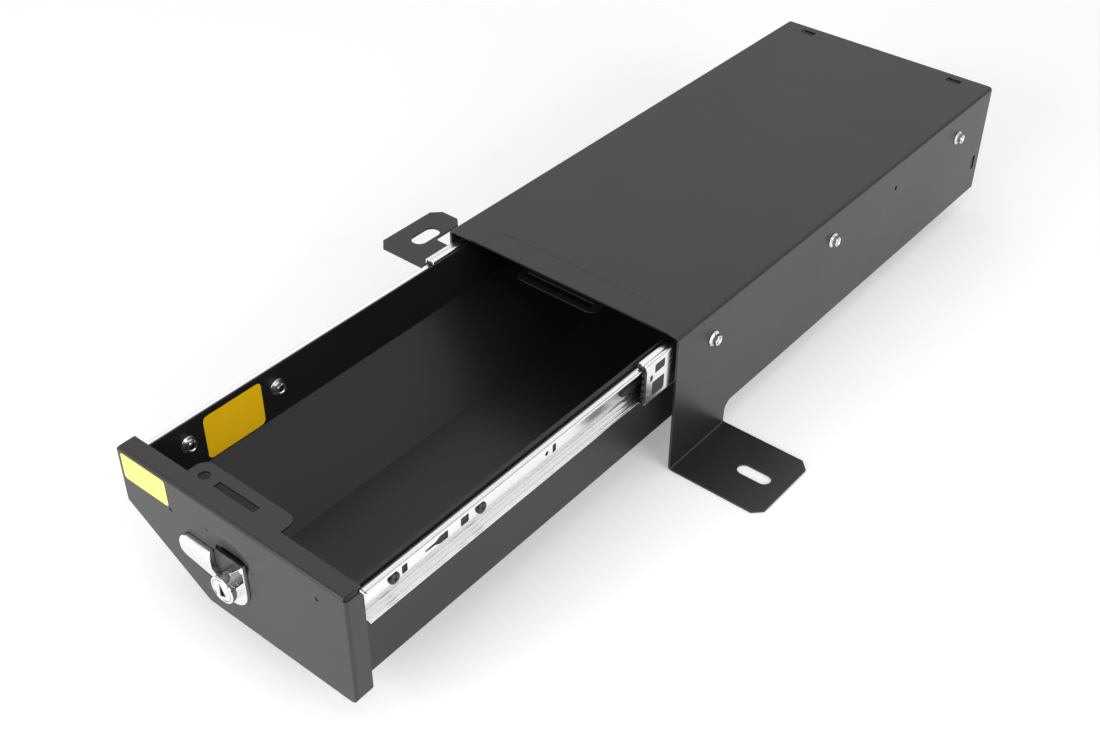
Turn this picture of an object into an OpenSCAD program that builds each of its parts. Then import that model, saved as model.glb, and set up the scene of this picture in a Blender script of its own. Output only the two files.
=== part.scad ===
// Under-seat security drawer: a folded steel housing that bolts down by two slotted feet,
// and a lockable drawer that runs in it on two three-member ball-bearing slides.
// All lengths are in millimetres, with Z up and the drawer opening towards -Y.
// The origin is the middle of the right foot's slot, on the foot's underside.

/* [Housing] */
// Width over the side walls
housing_w = 225; // [215:1:250]
// Length from the front edge to the rear edge
housing_l = 508; // [500:1:600]
// Height of the tall right wall
housing_h = 108; // [106:1:120]
// Thickness of the folded sheet
shell_t = 2; // [1.5:0.1:2.5]
// Height of the short left wall
left_wall_h = 50.5; // [48:0.5:52]
// Inside radius of the shell's folds
shell_bend_r = 1.5; // [1:0.1:2.5]
// Distance from the rear panel's outer face to the rear edge
rear_inset = 12; // [8:1:20]

/* [Feet] */
// How far the right foot stands out from the wall
right_foot_reach = 82.5; // [60:0.5:110]
// Length of the right foot and its leg along the wall
right_foot_l = 74; // [60:1:90]
// Drop from the wall's bottom edge to the right foot's underside
right_foot_drop = 20.5; // [12:0.5:30]
// Length of the right foot's slot
right_slot_l = 29.2; // [20:0.1:40]
// Width of the right foot's slot
right_slot_w = 12; // [8:0.1:14]
// How far the left foot stands out from the wall
left_foot_reach = 86.5; // [70:0.5:110]
// Length of the left foot's pad along the wall
left_foot_l = 74; // [60:1:90]
// Width of the left foot's pad
left_pad_w = 32.5; // [28:0.5:45]
// Length of the neck between the wall and the left pad
left_neck_l = 38; // [25:1:50]
// Length of the left foot's slot
left_slot_l = 29; // [20:0.1:40]
// Width of the left foot's slot
left_slot_w = 14.4; // [8:0.1:16]

/* [Drawer] */
// How far the drawer stands open
rest_opening = 330; // [0:10:420]
// Thickness of the tray's sheet
tray_t = 1.5; // [1:0.1:2]
// Height of the tray's bottom above the right wall's bottom edge
tray_floor_z = 12.6; // [8:0.1:20]
// Distance of the tray's wall tops below the housing's top
tray_top_drop = 9; // [8:0.5:18]
// Inside radius of the tray's folds
tray_bend_r = 1.5; // [1:0.1:3]

/* [Front panel] */
// Gap between the panel and the housing's walls
panel_side_gap = 2.7; // [1:0.1:4]
// Gap between the panel and the housing's top
panel_top_gap = 0.5; // [0.5:0.1:2]
// Height of the panel's bottom edge
panel_bottom_z = 10.1; // [5:0.1:12]
// Thickness of the panel's sheet
panel_t = 1.5; // [1:0.1:2]
// Depth of the flanges round the panel
flange_d = 14.5; // [10:0.5:15]
// Width of the tongue that the lock's cam passes through
tongue_w = 87.7; // [60:0.1:120]
// Depth of the tongue behind the panel's face
tongue_d = 29.5; // [24:0.5:30]
// Radius of the pressed finger scoop
scoop_r = 20; // [15:0.5:22]
// Depth of the pressed finger scoop
scoop_d = 3.5; // [3:0.5:7]

/* [Lock] */
// Distance of the lock's axis from the left wall
lock_x = 111; // [90:1:130]
// Diameter of the lock's head
lock_head_d = 21; // [18:0.1:24]
// How far the lock's head stands out from the panel
lock_head_out = 10; // [6:0.5:14]
// Diameter of the threaded barrel
barrel_d = 18.6; // [14:0.1:19]
// Diameter of the turning plug
plug_d = 12; // [9:0.1:13]
// Width of the cam
cam_w = 14; // [10:0.5:16]
// Thickness of the cam
cam_t = 3; // [2:0.1:4]

/* [Finger pull] */
// Thickness of the pull's plate
pull_t = 3.1; // [2:0.1:4]
// Distance from the lock's axis to the arm's far end
pull_arm_l = 46.5; // [35:0.5:60]
// Height of the arm
pull_arm_h = 20.5; // [16:0.5:24]
// How far the arm bows out in front of the plate
pull_bow = 1.2; // [1:0.1:3]

/* [Slides] */
// Height of the outer member
slide_h = 45.7; // [45.7:0.1:46.5]
// Thickness of a closed slide
slide_t = 12.7; // [12.7:0.1:14]
// Distance of the slides' centre line below the housing's top
slide_drop = 26.8; // [26:0.1:27]
// Sheet thickness of the slide members
member_t = 1.2; // [1:0.1:1.2]
// Balls in each row between the outer and the middle member
outer_balls = 8; // [4:1:9]
// Balls in each row between the middle and the inner member
inner_balls = 5; // [3:1:5]
// Diameter of the bearing balls
ball_d = 2.7; // [2.4:0.1:2.7]

/* [Fasteners] */
// Diameter of the slide screws
screw_d = 5; // [4:0.1:5]
// Diameter of the flange under a hex nut
nut_flange_d = 12.7; // [10:0.1:13]
// Width across the flats of a hex nut
nut_af = 8; // [7:0.1:9]

/* [Hidden] */

$fn = 48;
corner_steps = 8;
overrun = 1;
fit_gap = 0.15;
running_gap = 0.08;
black = [0.11, 0.11, 0.12];
zinc = [0.82, 0.83, 0.85];
chrome = [0.9, 0.9, 0.92];
dark_steel = [0.2, 0.2, 0.21];
plastic = [0.06, 0.06, 0.07];

// Lengths that fit in the housing
outer_front_y = 16;
slide_rear_gap = 35;
tray_beyond = 16;
slide_l = housing_l - outer_front_y - slide_rear_gap;
tray_l = slide_l + tray_beyond;

// Inner faces of the housing
ceiling_z = housing_h - shell_t;
left_in_x = shell_t;
right_in_x = housing_w - shell_t;
left_edge_z = housing_h - left_wall_h;
wall_r = shell_bend_r + shell_t;

// Heights that hang from the housing's top
lock_drop_share = 5 / 9;
scoop_up_share = 2 / 9;
slide_z = housing_h - slide_drop;
lock_z = housing_h - housing_h * lock_drop_share;
tray_top_z = housing_h - tray_top_drop;

// Right foot
right_foot_top_z = shell_t - right_foot_drop;
right_foot_tip_x = housing_w + right_foot_reach;
leg_fillet_r = 8.5;
right_chamfer = 7.5;
right_slot_inset = 28.4;
slot_forward = 0.5;
right_slot_x = right_foot_tip_x - right_slot_inset;
right_slot_y = right_foot_l / 2 - slot_forward;

// Left foot
left_foot_step = 0.5;
left_foot_top_z = left_edge_z - left_foot_step;
left_pad_x = left_pad_w - left_foot_reach;
left_chamfer = 8;
neck_chamfer = 7;
neck_r = 4.5;
left_slot_inset = 22.8;
left_slot_x = left_slot_inset - left_foot_reach;
left_slot_y = left_foot_l / 2 - slot_forward;

// Slots and holes in the shell
rear_tab_w = 12;
rear_tab_left_in = 31;
rear_tab_right_in = 34.2;
rear_tab_xs = [rear_tab_left_in, housing_w - rear_tab_right_in];
rear_tab_up = 22;
rear_tab_left_z = left_edge_z + rear_tab_up;
rear_tab_right_z = 32.5;
rear_t = 2;
rear_y = housing_l - rear_inset;
spare_hole_d = 4;
spare_hole_share = 0.6488;
spare_hole_y = housing_l * spare_hole_share;
joggle_x0 = 34;
joggle_right_in = 36;
joggle_x1 = housing_w - joggle_right_in;
joggle_l = 24;
joggle_d = 0.6;
joggle_r = 9;

// Strike bracket under the housing's top
strike_t = 1.5;
strike_front_y = 9.5;
strike_web_gap = 2.5;
strike_web_y = tongue_d + strike_web_gap;
strike_flange_l = 23;
strike_flange_y = strike_web_y + strike_flange_l;
strike_drop = 22.3;
strike_top_z = ceiling_z - strike_drop;
strike_corner_r = 9;
strike_bend_r = 1.5;

// Front panel, with its face at y = 0 when the drawer is shut
panel_x0 = left_in_x + panel_side_gap;
panel_x1 = right_in_x - panel_side_gap;
panel_top_z = ceiling_z - panel_top_gap;
panel_left_step = 1.9;
panel_left_z = left_edge_z + panel_left_step;
panel_bend_r = 1;
panel_fold_r = panel_bend_r + panel_t;
panel_slope_x = 80.8;
panel_corner_r = 6;
flange_corner_r = 5;
flange_slit = 1.2;
tongue_x0 = 60.8;
tongue_r = 8.5;
tongue_hole_d = 8.5;
tongue_hole_in = 11.9;
tongue_hole_x = tongue_x0 + tongue_hole_in;
tongue_hole_y = 18.4;
dimple_r = 1.6;
dimple_d = 0.5;
dimple_shares = [[0.2356, 0.716], [0.4035, 0.764], [0.8776, 0.825]];
scoop_z = lock_z + housing_h * scoop_up_share;
scoop_rise = 6;
scoop_slit = 0.8;
scoop_ball_r = (pow(scoop_r, 2) + pow(scoop_d, 2)) / (2 * scoop_d);
label_t = 0.2;
front_label_w = 44.8;
front_label_h = 22.3;
front_label_side = 4.8;
front_label_top = 3.2;
front_label_r = 2.5;

// Tray
tray_x0 = left_in_x + slide_t;
tray_x1 = right_in_x - slide_t;
tray_slope_drop = 3;
tray_slope_z = left_edge_z - tray_slope_drop;
tray_slope_x = 80.4;
front_wall_y = panel_t;
tray_y0 = front_wall_y + tray_t;
tray_y1 = tray_y0 + tray_l;
window_gap = 3;
front_window_r = scoop_r + window_gap;
lock_window_r = 18;
tray_label_h = 37.5;
tray_label_up = 2;
tray_label_z = tray_slope_z + tray_label_up;
tray_label_r = 4;
tray_label_front_gap = 15;
tray_label_rear_gap = 14;

// Slide sections, as distances from the wall and half heights from the centre line
member_bend_r = 0.5;
race_gap = 0.3;
race = ball_d + 2 * race_gap;
outer_half = slide_h / 2;
mid_half = outer_half - member_t - race;
inner_half = mid_half - member_t - race;
outer_step = 2.5;
outer_depth = slide_t - outer_step;
mid_out = 2.4;
mid_step = 1.7;
mid_depth = slide_t - mid_step;
inner_member_d = 7.7;
inner_out = slide_t - inner_member_d;
lip_gap = 0.85;
cage_t = 0.6;
strip_t = 0.8;
web_gap = 0.3;
strip_gap = 0.4;
outer_cage_out = member_t + web_gap;
inner_cage_out = mid_out + member_t + strip_gap;
outer_strip_in = outer_depth - member_t - strip_gap;
inner_strip_in = mid_depth - member_t - strip_gap;
outer_row_z = outer_half - member_t - race / 2;
inner_row_z = mid_half - member_t - race / 2;
outer_pitch = 24;
inner_pitch = 15;
cage_margin = 4;

// Slide places along Y with the drawer shut, and how far each part moves with the drawer
mid_front_y = 18;
inner_front_y = 19;
mid_share = 0.1545;
inner_cage_share = (1 + mid_share) / 2;
outer_cage_share = mid_share / 2;
outer_cage_y = (outer_front_y + mid_front_y + slide_l) / 2;
inner_cage_y = (mid_front_y + inner_front_y + slide_l) / 2;
bumper_l = 5;
bumper_gap = 0.35;
bumper_h = mid_half - member_t - inner_half - bumper_gap;
bumper_d = mid_depth - member_t - member_bend_r - inner_cage_out;
mid_window_y = 11;
mid_window_l = 12;
mid_window_z = 6.2;
mid_window_h = 7.6;
mid_low_window_y = 8;
mid_low_window_l = 15;
mid_low_window_z = -14;
mid_low_window_h = 13;
mid_hole_w = 2.2;
mid_hole_l = 4.6;
mid_hole_y = 6.9;
mid_hole_z = 3.6;

// Holes along the inner member, from its front end
upright_share = 0.0832;
upright_l = 4.8;
upright_h = 7;
arrow_share = 0.1241;
arrow_l = 21;
arrow_w = 6.6;
arrow_stem_l = 9.5;
arrow_taper_l = 4;
arrow_stem_w = 2.6;
arrow_tip_w = 1.4;
square_share = 0.2051;
square_l = 7.5;
square_h = 7;
pair_share = 0.3873;
pair_d = 3.6;
second_upright_share = 0.4048;
second_upright_l = 3.6;

// Release lever, in the channel of the inner member
lever_pivot_share = 0.6368;
lever_pivot_y = slide_l * lever_pivot_share;
lever_l = 30;
lever_w = 8;
lever_t = 2;
lever_tip_w = 5;
lever_hole_r = 1.6;
rivet_head_r = 2.6;
rivet_head_t = 0.8;

// Slide screws and nuts
housing_screw_shares = [0.0925, 0.437, 0.878];
drawer_screw_shares = [0.0613, 0.2385, 0.8425];
housing_screw_ys = [for (share = housing_screw_shares) housing_l * share];
drawer_screw_ys = [for (share = drawer_screw_shares) slide_l * share];
tray_label_y0 = inner_front_y + drawer_screw_ys[0] + tray_label_front_gap;
tray_label_y1 = inner_front_y + drawer_screw_ys[1] - tray_label_rear_gap;
screw_r = screw_d / 2;
sink_r = 4.2;
pan_head_r = 4.5;
pan_head_t = 2.2;
recess_w = 1;
recess_l = 5;
recess_d = 1.1;
nut_flange_t = 1.3;
nut_t = 4;
screw_end = 1.4;
nut_stack = nut_flange_t + nut_t;

// Lock
head_rim = 1;
barrel_end_y = 15.5;
plug_end_y = 16.5;
cam_y = 16.7;
cam_clear = 1.4;
cam_tip_gap = 1;
cam_reach = ceiling_z - cam_tip_gap - lock_z;
square_drive = 6;
cam_screw_r = 1.5;
cam_screw_l = 8;
cam_screw_head_r = 4.2;
cam_screw_head_t = 2.2;
lock_nut_af = 24;
lock_nut_t = 4.5;
plug_face_r = 8.6;
plug_face_t = 1.2;
keyway_w = 4.5;
keyway_h = 11;
keyway_side = 1.5;
keyway_d = 6;
strike_slot_x0 = lock_x - cam_clear - sqrt(pow(cam_reach, 2) - pow(strike_top_z - strike_t - lock_z, 2));
strike_slot_beyond = 13;
strike_slot_x1 = lock_x + cam_w / 2 + strike_slot_beyond;
strike_left_side = 6;
strike_right_side = 9;
strike_x0 = strike_slot_x0 - strike_left_side;
strike_x1 = strike_slot_x1 + strike_right_side;
cam_slot_y0 = cam_y - cam_clear;
cam_slot_y1 = cam_y + cam_t + cam_clear;
tongue_slot_left = 26;
tongue_slot_right = 11.8;
tongue_slot_x0 = lock_x - tongue_slot_left;
tongue_slot_x1 = lock_x + tongue_slot_right;

// Finger pull
pull_lobe_r = 16.3;
pull_top_step = 0.7;
pull_top_z = scoop_z + pull_top_step;
pull_arm_drop = 5.4;
pull_arm_top_z = pull_top_z - pull_arm_drop;
pull_arm_z = pull_arm_top_z - pull_arm_h;
pull_arm_r = 8.5;
pull_skin = 1.5;
pull_notch_shares = [[-0.963, 0.15], [-0.62, 0.15], [0.3, 0.853], [0.883, 1.46]];
pull_notch_corner_r = 3;
pull_notch_hollow_r = 6;
pull_notch_bend_r = 10;
bow_r = (pow(pull_arm_h / 2, 2) + pow(pull_bow, 2)) / (2 * pull_bow);

// Places the housing's front left corner so that the right foot's slot is at the origin
module housing_frame()
    translate([-right_slot_x, -right_slot_y, right_foot_drop])
        children();

// Carries a part by a share of the drawer's opening
module opened(share)
    housing_frame()
        translate([0, -rest_opening * share, 0])
            children();

// Turns a section drawn in X and Z into a bar from y0 to y1
module along_y(y0, y1)
    translate([0, y1, 0])
        rotate([90, 0, 0])
            linear_extrude(y1 - y0)
                children();

// Turns a section drawn in Y and Z into a bar from x0 to x1
module along_x(x0, x1)
    translate([x0, 0, 0])
        rotate([90, 0, 90])
            linear_extrude(x1 - x0)
                children();

// Raises a plan drawn in X and Y from z0 to z1
module along_z(z0, z1)
    translate([0, 0, z0])
        linear_extrude(z1 - z0)
            children();

// Round bar along Y about a place in X and Z
module rod_y(x, z, r, y0, y1)
    translate([x, y1, z])
        rotate([90, 0, 0])
            cylinder(h = y1 - y0, r = r);

// Rectangle between two corners
module rect(x0, y0, x1, y1)
    translate([x0, y0])
        square([x1 - x0, y1 - y0]);

function unit(v) = v / norm(v);
function left_of(v) = [-v[1], v[0]];
function turned(v, a) = [v[0] * cos(a) - v[1] * sin(a), v[0] * sin(a) + v[1] * cos(a)];

// Points of a fillet of radius r at corner p, whose sides run towards a and b
function fillet(p, a, b, r) =
    let (u = unit(a - p), v = unit(b - p), half = acos(u * v) / 2)
    let (centre = p + unit(u + v) * r / sin(half), start = p + u * r / tan(half) - centre)
    let (sweep = (180 - 2 * half) * sign(cross(p - a, b - p)))
    [for (i = [0:corner_steps]) centre + turned(start, sweep * i / corner_steps)];

// A closed outline with a radius at each of its points
function rounded(points, radii) =
    let (n = len(points))
    [for (i = [0:n - 1])
        each radii[i] > 0
            ? fillet(points[i], points[(i + n - 1) % n], points[(i + 1) % n], radii[i])
            : [points[i]]];

// The same outline with one radius at all its points
function rounded_all(points, r) = rounded(points, [for (p = points) r]);

// A box outline between two corners, with one radius
function box_points(x0, y0, x1, y1) = [[x0, y0], [x1, y0], [x1, y1], [x0, y1]];

// Where the far side of a sheet of thickness t passes point i of its path, to the left
function far_point(path, i, t) =
    let (n = len(path) - 1)
    let (before = left_of(unit(i > 0 ? path[i] - path[i - 1] : path[1] - path[0])))
    let (after = left_of(unit(i < n ? path[i + 1] - path[i] : path[n] - path[n - 1])))
    path[i] + (before + after) * t / (1 + before * after);

// The turn of a path at point i: 1 to the left, -1 to the right, 0 at its ends
function turn_at(path, i) =
    i == 0 || i == len(path) - 1 ? 0 : sign(cross(path[i] - path[i - 1], path[i + 1] - path[i]));

// Fold radius at one side of a sheet: r inside the fold, r + t outside, 0 at the ends
function fold_radius(turn, r, t) = turn == 0 ? 0 : turn > 0 ? r : r + t;

// Section of a folded sheet that lies to the left of its path
module folded_sheet(path, t, r) {
    n = len(path) - 1;
    far = [for (i = [n:-1:0]) far_point(path, i, t)];
    near_radii = [for (i = [0:n]) fold_radius(-turn_at(path, i), r, t)];
    far_radii = [for (i = [n:-1:0]) fold_radius(turn_at(path, i), r, t)];
    polygon(rounded(concat(path, far), concat(near_radii, far_radii)));
}

// Slot with round ends, centred, with its length along X
module slot(l, w) {
    square([l - w, w], center = true);
    for (end = [-1, 1])
        translate([end * (l - w) / 2, 0])
            circle(d = w);
}

// Housing
module housing_shell() {
    color(black) housing_frame() difference() {
        union() {
            along_y(0, housing_l)
                folded_sheet([[housing_w, 0], [housing_w, housing_h], [0, housing_h], [0, left_edge_z]],
                    shell_t, shell_bend_r);
            right_foot();
            left_foot();
        }
        for (y = housing_screw_ys)
            screw_hole_x(y, slide_z, screw_r + fit_gap);
        translate([right_in_x - overrun, spare_hole_y, slide_z])
            rotate([0, 90, 0])
                cylinder(h = shell_t + 2 * overrun, d = spare_hole_d);
        for (x = rear_tab_xs)
            translate([x, rear_y - rear_t / 2, ceiling_z - overrun])
                linear_extrude(shell_t + 2 * overrun)
                    square([rear_tab_w + 2 * fit_gap, rear_t + 2 * fit_gap], center = true);
        rear_tab_cut(right_in_x, rear_tab_right_z);
        rear_tab_cut(0, rear_tab_left_z);
        along_z(housing_h - joggle_d, housing_h + overrun)
            polygon(rounded(box_points(joggle_x0, -overrun, joggle_x1, joggle_l), [0, 0, joggle_r, joggle_r]));
    }
}

// Round holes through both side walls
module screw_hole_x(y, z, r)
    translate([-overrun, y, z])
        rotate([0, 90, 0])
            cylinder(h = housing_w + 2 * overrun, r = r);

// Slot for a rear tab in the side wall that starts at x
module rear_tab_cut(x, z)
    translate([x + shell_t / 2, rear_y - rear_t / 2, z])
        cube([shell_t + 2 * overrun, rear_t + 2 * fit_gap, rear_tab_w + 2 * fit_gap], center = true);

module right_foot() {
    difference() {
        intersection() {
            along_y(0, right_foot_l)
                folded_sheet([[right_foot_tip_x, right_foot_top_z], [housing_w, right_foot_top_z],
                    [housing_w, wall_r]], shell_t, shell_bend_r);
            along_z(-right_foot_drop, wall_r)
                polygon([[right_in_x, 0], [right_foot_tip_x - right_chamfer, 0],
                    [right_foot_tip_x, right_chamfer], [right_foot_tip_x, right_foot_l - right_chamfer],
                    [right_foot_tip_x - right_chamfer, right_foot_l], [right_in_x, right_foot_l]]);
        }
        translate([right_slot_x, right_slot_y, -right_foot_drop - overrun])
            linear_extrude(shell_t + 2 * overrun)
                slot(right_slot_l, right_slot_w);
    }
    along_x(right_in_x, housing_w)
        difference() {
            rect(right_foot_l, -leg_fillet_r, right_foot_l + leg_fillet_r, 0);
            translate([right_foot_l + leg_fillet_r, -leg_fillet_r])
                circle(r = leg_fillet_r);
        }
}

module left_foot() {
    outline = [[shell_t, 0], [shell_t, left_neck_l], [left_pad_x, left_neck_l],
        [left_pad_x, left_foot_l - neck_chamfer], [left_pad_x - neck_chamfer, left_foot_l],
        [left_chamfer - left_foot_reach, left_foot_l], [-left_foot_reach, left_foot_l - left_chamfer],
        [-left_foot_reach, left_chamfer], [left_chamfer - left_foot_reach, 0]];
    difference() {
        intersection() {
            along_y(0, left_foot_l)
                folded_sheet([[0, left_edge_z + wall_r], [0, left_foot_top_z],
                    [-left_foot_reach, left_foot_top_z]], shell_t, shell_bend_r);
            along_z(left_foot_top_z - shell_t, left_edge_z + wall_r)
                polygon(rounded(outline, [0, 0, neck_r, 0, 0, 0, 0, 0, 0]));
        }
        translate([left_slot_x, left_slot_y, left_foot_top_z - shell_t - overrun])
            linear_extrude(shell_t + 2 * overrun)
                rotate(90)
                    slot(left_slot_l, left_slot_w);
    }
}

// Panel that closes the rear, with tabs through the shell's slots
module rear_panel() {
    half_tab = rear_tab_w / 2;
    color(black) housing_frame() {
        rear_slab()
            polygon([[left_in_x + fit_gap, panel_left_z], [left_in_x + fit_gap, ceiling_z - wall_r],
                [left_in_x + wall_r, ceiling_z - fit_gap], [right_in_x - wall_r, ceiling_z - fit_gap],
                [right_in_x - fit_gap, ceiling_z - wall_r], [right_in_x - fit_gap, panel_bottom_z],
                [panel_slope_x, panel_bottom_z]]);
        for (x = rear_tab_xs)
            rear_slab()
                rect(x - half_tab, ceiling_z - wall_r, x + half_tab, housing_h);
        rear_slab()
            rect(right_in_x - wall_r, rear_tab_right_z - half_tab, housing_w, rear_tab_right_z + half_tab);
        rear_slab()
            rect(0, rear_tab_left_z - half_tab, left_in_x + wall_r, rear_tab_left_z + half_tab);
    }
}

module rear_slab()
    along_y(rear_y - rear_t, rear_y)
        children();

// Shelf with a slot for the lock's cam, welded under the housing's top
module strike_bracket() {
    color(black) housing_frame() difference() {
        intersection() {
            along_x(strike_x0, strike_x1)
                folded_sheet([[strike_flange_y, ceiling_z], [strike_web_y, ceiling_z],
                    [strike_web_y, strike_top_z], [strike_front_y, strike_top_z]], strike_t, strike_bend_r);
            along_z(strike_top_z - strike_t, ceiling_z)
                polygon(rounded(box_points(strike_x0, strike_front_y, strike_x1, strike_flange_y),
                    [strike_corner_r, strike_corner_r, 0, 0]));
        }
        along_z(strike_top_z - strike_t - overrun, strike_top_z + overrun)
            rect(strike_slot_x0, cam_slot_y0, strike_slot_x1, cam_slot_y1);
    }
}

// Draws a part once for the left wall, or mirrored for the right wall, with x = 0 on the wall's
// inner face and z = 0 on the slide's centre line
module at_wall(side)
    translate([side == "left" ? left_in_x : right_in_x, 0, slide_z])
        mirror([side == "left" ? 0 : 1, 0, 0])
            children();

module outer_member(side) {
    lip_z = mid_half + lip_gap;
    color(zinc) housing_frame() at_wall(side) difference() {
        along_y(outer_front_y, outer_front_y + slide_l)
            folded_sheet([[outer_depth, lip_z], [outer_depth, outer_half], [0, outer_half],
                [0, -outer_half], [outer_depth, -outer_half], [outer_depth, -lip_z]],
                member_t, member_bend_r);
        for (y = housing_screw_ys)
            translate([0, y, 0])
                rotate([0, 90, 0])
                    cylinder(h = member_t, r1 = screw_r + fit_gap, r2 = sink_r + fit_gap);
    }
}

module mid_member(side) {
    lip_z = inner_half + lip_gap;
    color(zinc) opened(mid_share) at_wall(side) difference() {
        along_y(mid_front_y, mid_front_y + slide_l)
            folded_sheet([[mid_depth, lip_z], [mid_depth, mid_half], [mid_out, mid_half],
                [mid_out, -mid_half], [mid_depth, -mid_half], [mid_depth, -lip_z]],
                member_t, member_bend_r);
        along_x(mid_out - overrun, mid_out + member_t + overrun) {
            translate([mid_front_y + mid_hole_y, mid_hole_z])
                rotate(90)
                    slot(mid_hole_l, mid_hole_w);
            translate([mid_front_y + mid_window_y, mid_window_z])
                square([mid_window_l, mid_window_h]);
            translate([mid_front_y + mid_low_window_y, mid_low_window_z])
                square([mid_low_window_l, mid_low_window_h]);
        }
    }
}

// Plastic blocks in the front end of the middle member
module bumpers(side) {
    color(plastic) opened(mid_share) at_wall(side)
        for (end = [-1, 1])
            along_y(mid_front_y, mid_front_y + bumper_l)
                translate([inner_cage_out, end * (inner_half + mid_half - member_t + bumper_gap) / 2])
                    translate([0, -bumper_h / 2])
                        square([bumper_d, bumper_h]);
}

module inner_member(side) {
    color(zinc) opened(1) at_wall(side) translate([0, inner_front_y, 0]) difference() {
        along_y(0, slide_l)
            folded_sheet([[inner_out, -inner_half], [slide_t, -inner_half], [slide_t, inner_half],
                [inner_out, inner_half]], member_t, member_bend_r);
        along_x(slide_t - member_t - overrun, slide_t + overrun)
            inner_member_holes();
    }
}

// Holes through the inner member's web, in Y and Z from its front end
module inner_member_holes() {
    for (y = drawer_screw_ys)
        translate([y, 0])
            circle(r = screw_r + fit_gap);
    translate([slide_l * upright_share, 0])
        square([upright_l, upright_h], center = true);
    translate([slide_l * arrow_share, 0])
        polygon([[0, -arrow_tip_w / 2], [arrow_stem_l, -arrow_stem_w / 2],
            [arrow_stem_l + arrow_taper_l, -arrow_w / 2], [arrow_l, -arrow_w / 2], [arrow_l, arrow_w / 2],
            [arrow_stem_l + arrow_taper_l, arrow_w / 2], [arrow_stem_l, arrow_stem_w / 2], [0, arrow_tip_w / 2]]);
    translate([slide_l * square_share, 0])
        square([square_l, square_h], center = true);
    translate([slide_l * pair_share, 0])
        circle(d = pair_d);
    translate([slide_l * second_upright_share, 0])
        square([second_upright_l, upright_h], center = true);
    translate([lever_pivot_y, 0])
        circle(r = lever_hole_r);
}

function cage_half(balls, pitch) = (balls - 1) * pitch / 2 + cage_margin;
function ball_places(balls, pitch) = [for (i = [0:balls - 1]) (i - (balls - 1) / 2) * pitch];

// Ball cage: a web with a strip above and below, drilled for its balls
module cage(out, depth, row_z, ball_x, balls, pitch) {
    half = cage_half(balls, pitch);
    difference() {
        along_y(-half, half) {
            rect(out, -row_z - strip_t / 2, out + cage_t, row_z + strip_t / 2);
            for (end = [-1, 1])
                translate([out, end * row_z - strip_t / 2])
                    square([depth - out, strip_t]);
        }
        for (y = ball_places(balls, pitch), end = [-1, 1])
            translate([ball_x, y, end * row_z])
                cylinder(h = strip_t + 2 * overrun, d = ball_d + 2 * fit_gap, center = true);
    }
}

module ball_rows(row_z, ball_x, balls, pitch)
    for (y = ball_places(balls, pitch), end = [-1, 1])
        translate([ball_x, y, end * row_z])
            sphere(d = ball_d);

outer_ball_x = (outer_cage_out + outer_strip_in) / 2 + cage_t;
inner_ball_x = (inner_cage_out + inner_strip_in) / 2 + cage_t;

module outer_cage(side)
    color(zinc) opened(outer_cage_share) at_wall(side) translate([0, outer_cage_y, 0])
        cage(outer_cage_out, outer_strip_in, outer_row_z, outer_ball_x, outer_balls, outer_pitch);

module inner_cage(side)
    color(zinc) opened(inner_cage_share) at_wall(side) translate([0, inner_cage_y, 0])
        cage(inner_cage_out, inner_strip_in, inner_row_z, inner_ball_x, inner_balls, inner_pitch);

module outer_cage_balls(side)
    color(chrome) opened(outer_cage_share) at_wall(side) translate([0, outer_cage_y, 0])
        ball_rows(outer_row_z, outer_ball_x, outer_balls, outer_pitch);

module inner_cage_balls(side)
    color(chrome) opened(inner_cage_share) at_wall(side) translate([0, inner_cage_y, 0])
        ball_rows(inner_row_z, inner_ball_x, inner_balls, inner_pitch);

// Lever that frees the drawer from its slides, on a rivet in the inner member
module release_lever(side) {
    color(plastic) opened(1) at_wall(side)
        translate([0, inner_front_y + lever_pivot_y, 0])
            along_x(slide_t - member_t - lever_t, slide_t - member_t)
                difference() {
                    union() {
                        circle(d = lever_w);
                        polygon([[0, -lever_w / 2], [0, lever_w / 2], [-lever_l, lever_tip_w / 2],
                            [-lever_l, -lever_tip_w / 2]]);
                        translate([-lever_l, 0])
                            circle(d = lever_tip_w);
                    }
                    circle(r = lever_hole_r);
                }
}

module lever_rivets() {
    color(zinc) opened(1) for (side = ["left", "right"])
        at_wall(side) translate([slide_t, inner_front_y + lever_pivot_y, 0]) rotate([0, -90, 0]) {
            cylinder(h = member_t + lever_t, r = lever_hole_r - running_gap);
            translate([0, 0, member_t + lever_t])
                cylinder(h = rivet_head_t, r = rivet_head_r);
        }
}

// Countersunk screws from inside the outer members through the housing's walls
module housing_screws() {
    color(zinc) housing_frame() for (side = ["left", "right"], y = housing_screw_ys)
        at_wall(side) translate([0, y, 0]) rotate([0, 90, 0]) difference() {
            union() {
                cylinder(h = member_t, r1 = screw_r, r2 = sink_r);
                translate([0, 0, -shell_t - nut_stack - screw_end])
                    cylinder(h = shell_t + nut_stack + screw_end, r = screw_r);
            }
            translate([0, 0, member_t])
                cube([recess_w, recess_l, recess_d], center = true);
        }
}

// Hex nut with a round flange, standing on z = 0
module flange_nut() {
    difference() {
        union() {
            cylinder(h = nut_flange_t, d = nut_flange_d);
            cylinder(h = nut_stack, d = nut_af / cos(30), $fn = 6);
        }
        translate([0, 0, -overrun])
            cylinder(h = nut_stack + 2 * overrun, r = screw_r + running_gap);
    }
}

module housing_nuts() {
    color(chrome) housing_frame() for (side = ["left", "right"], y = housing_screw_ys)
        at_wall(side) translate([-shell_t, y, 0]) rotate([0, -90, 0])
            flange_nut();
}

// Tray
tray_section = [[tray_x0, tray_top_z], [tray_x0, tray_slope_z], [tray_slope_x, tray_floor_z],
    [tray_x1, tray_floor_z], [tray_x1, tray_top_z]];

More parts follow.
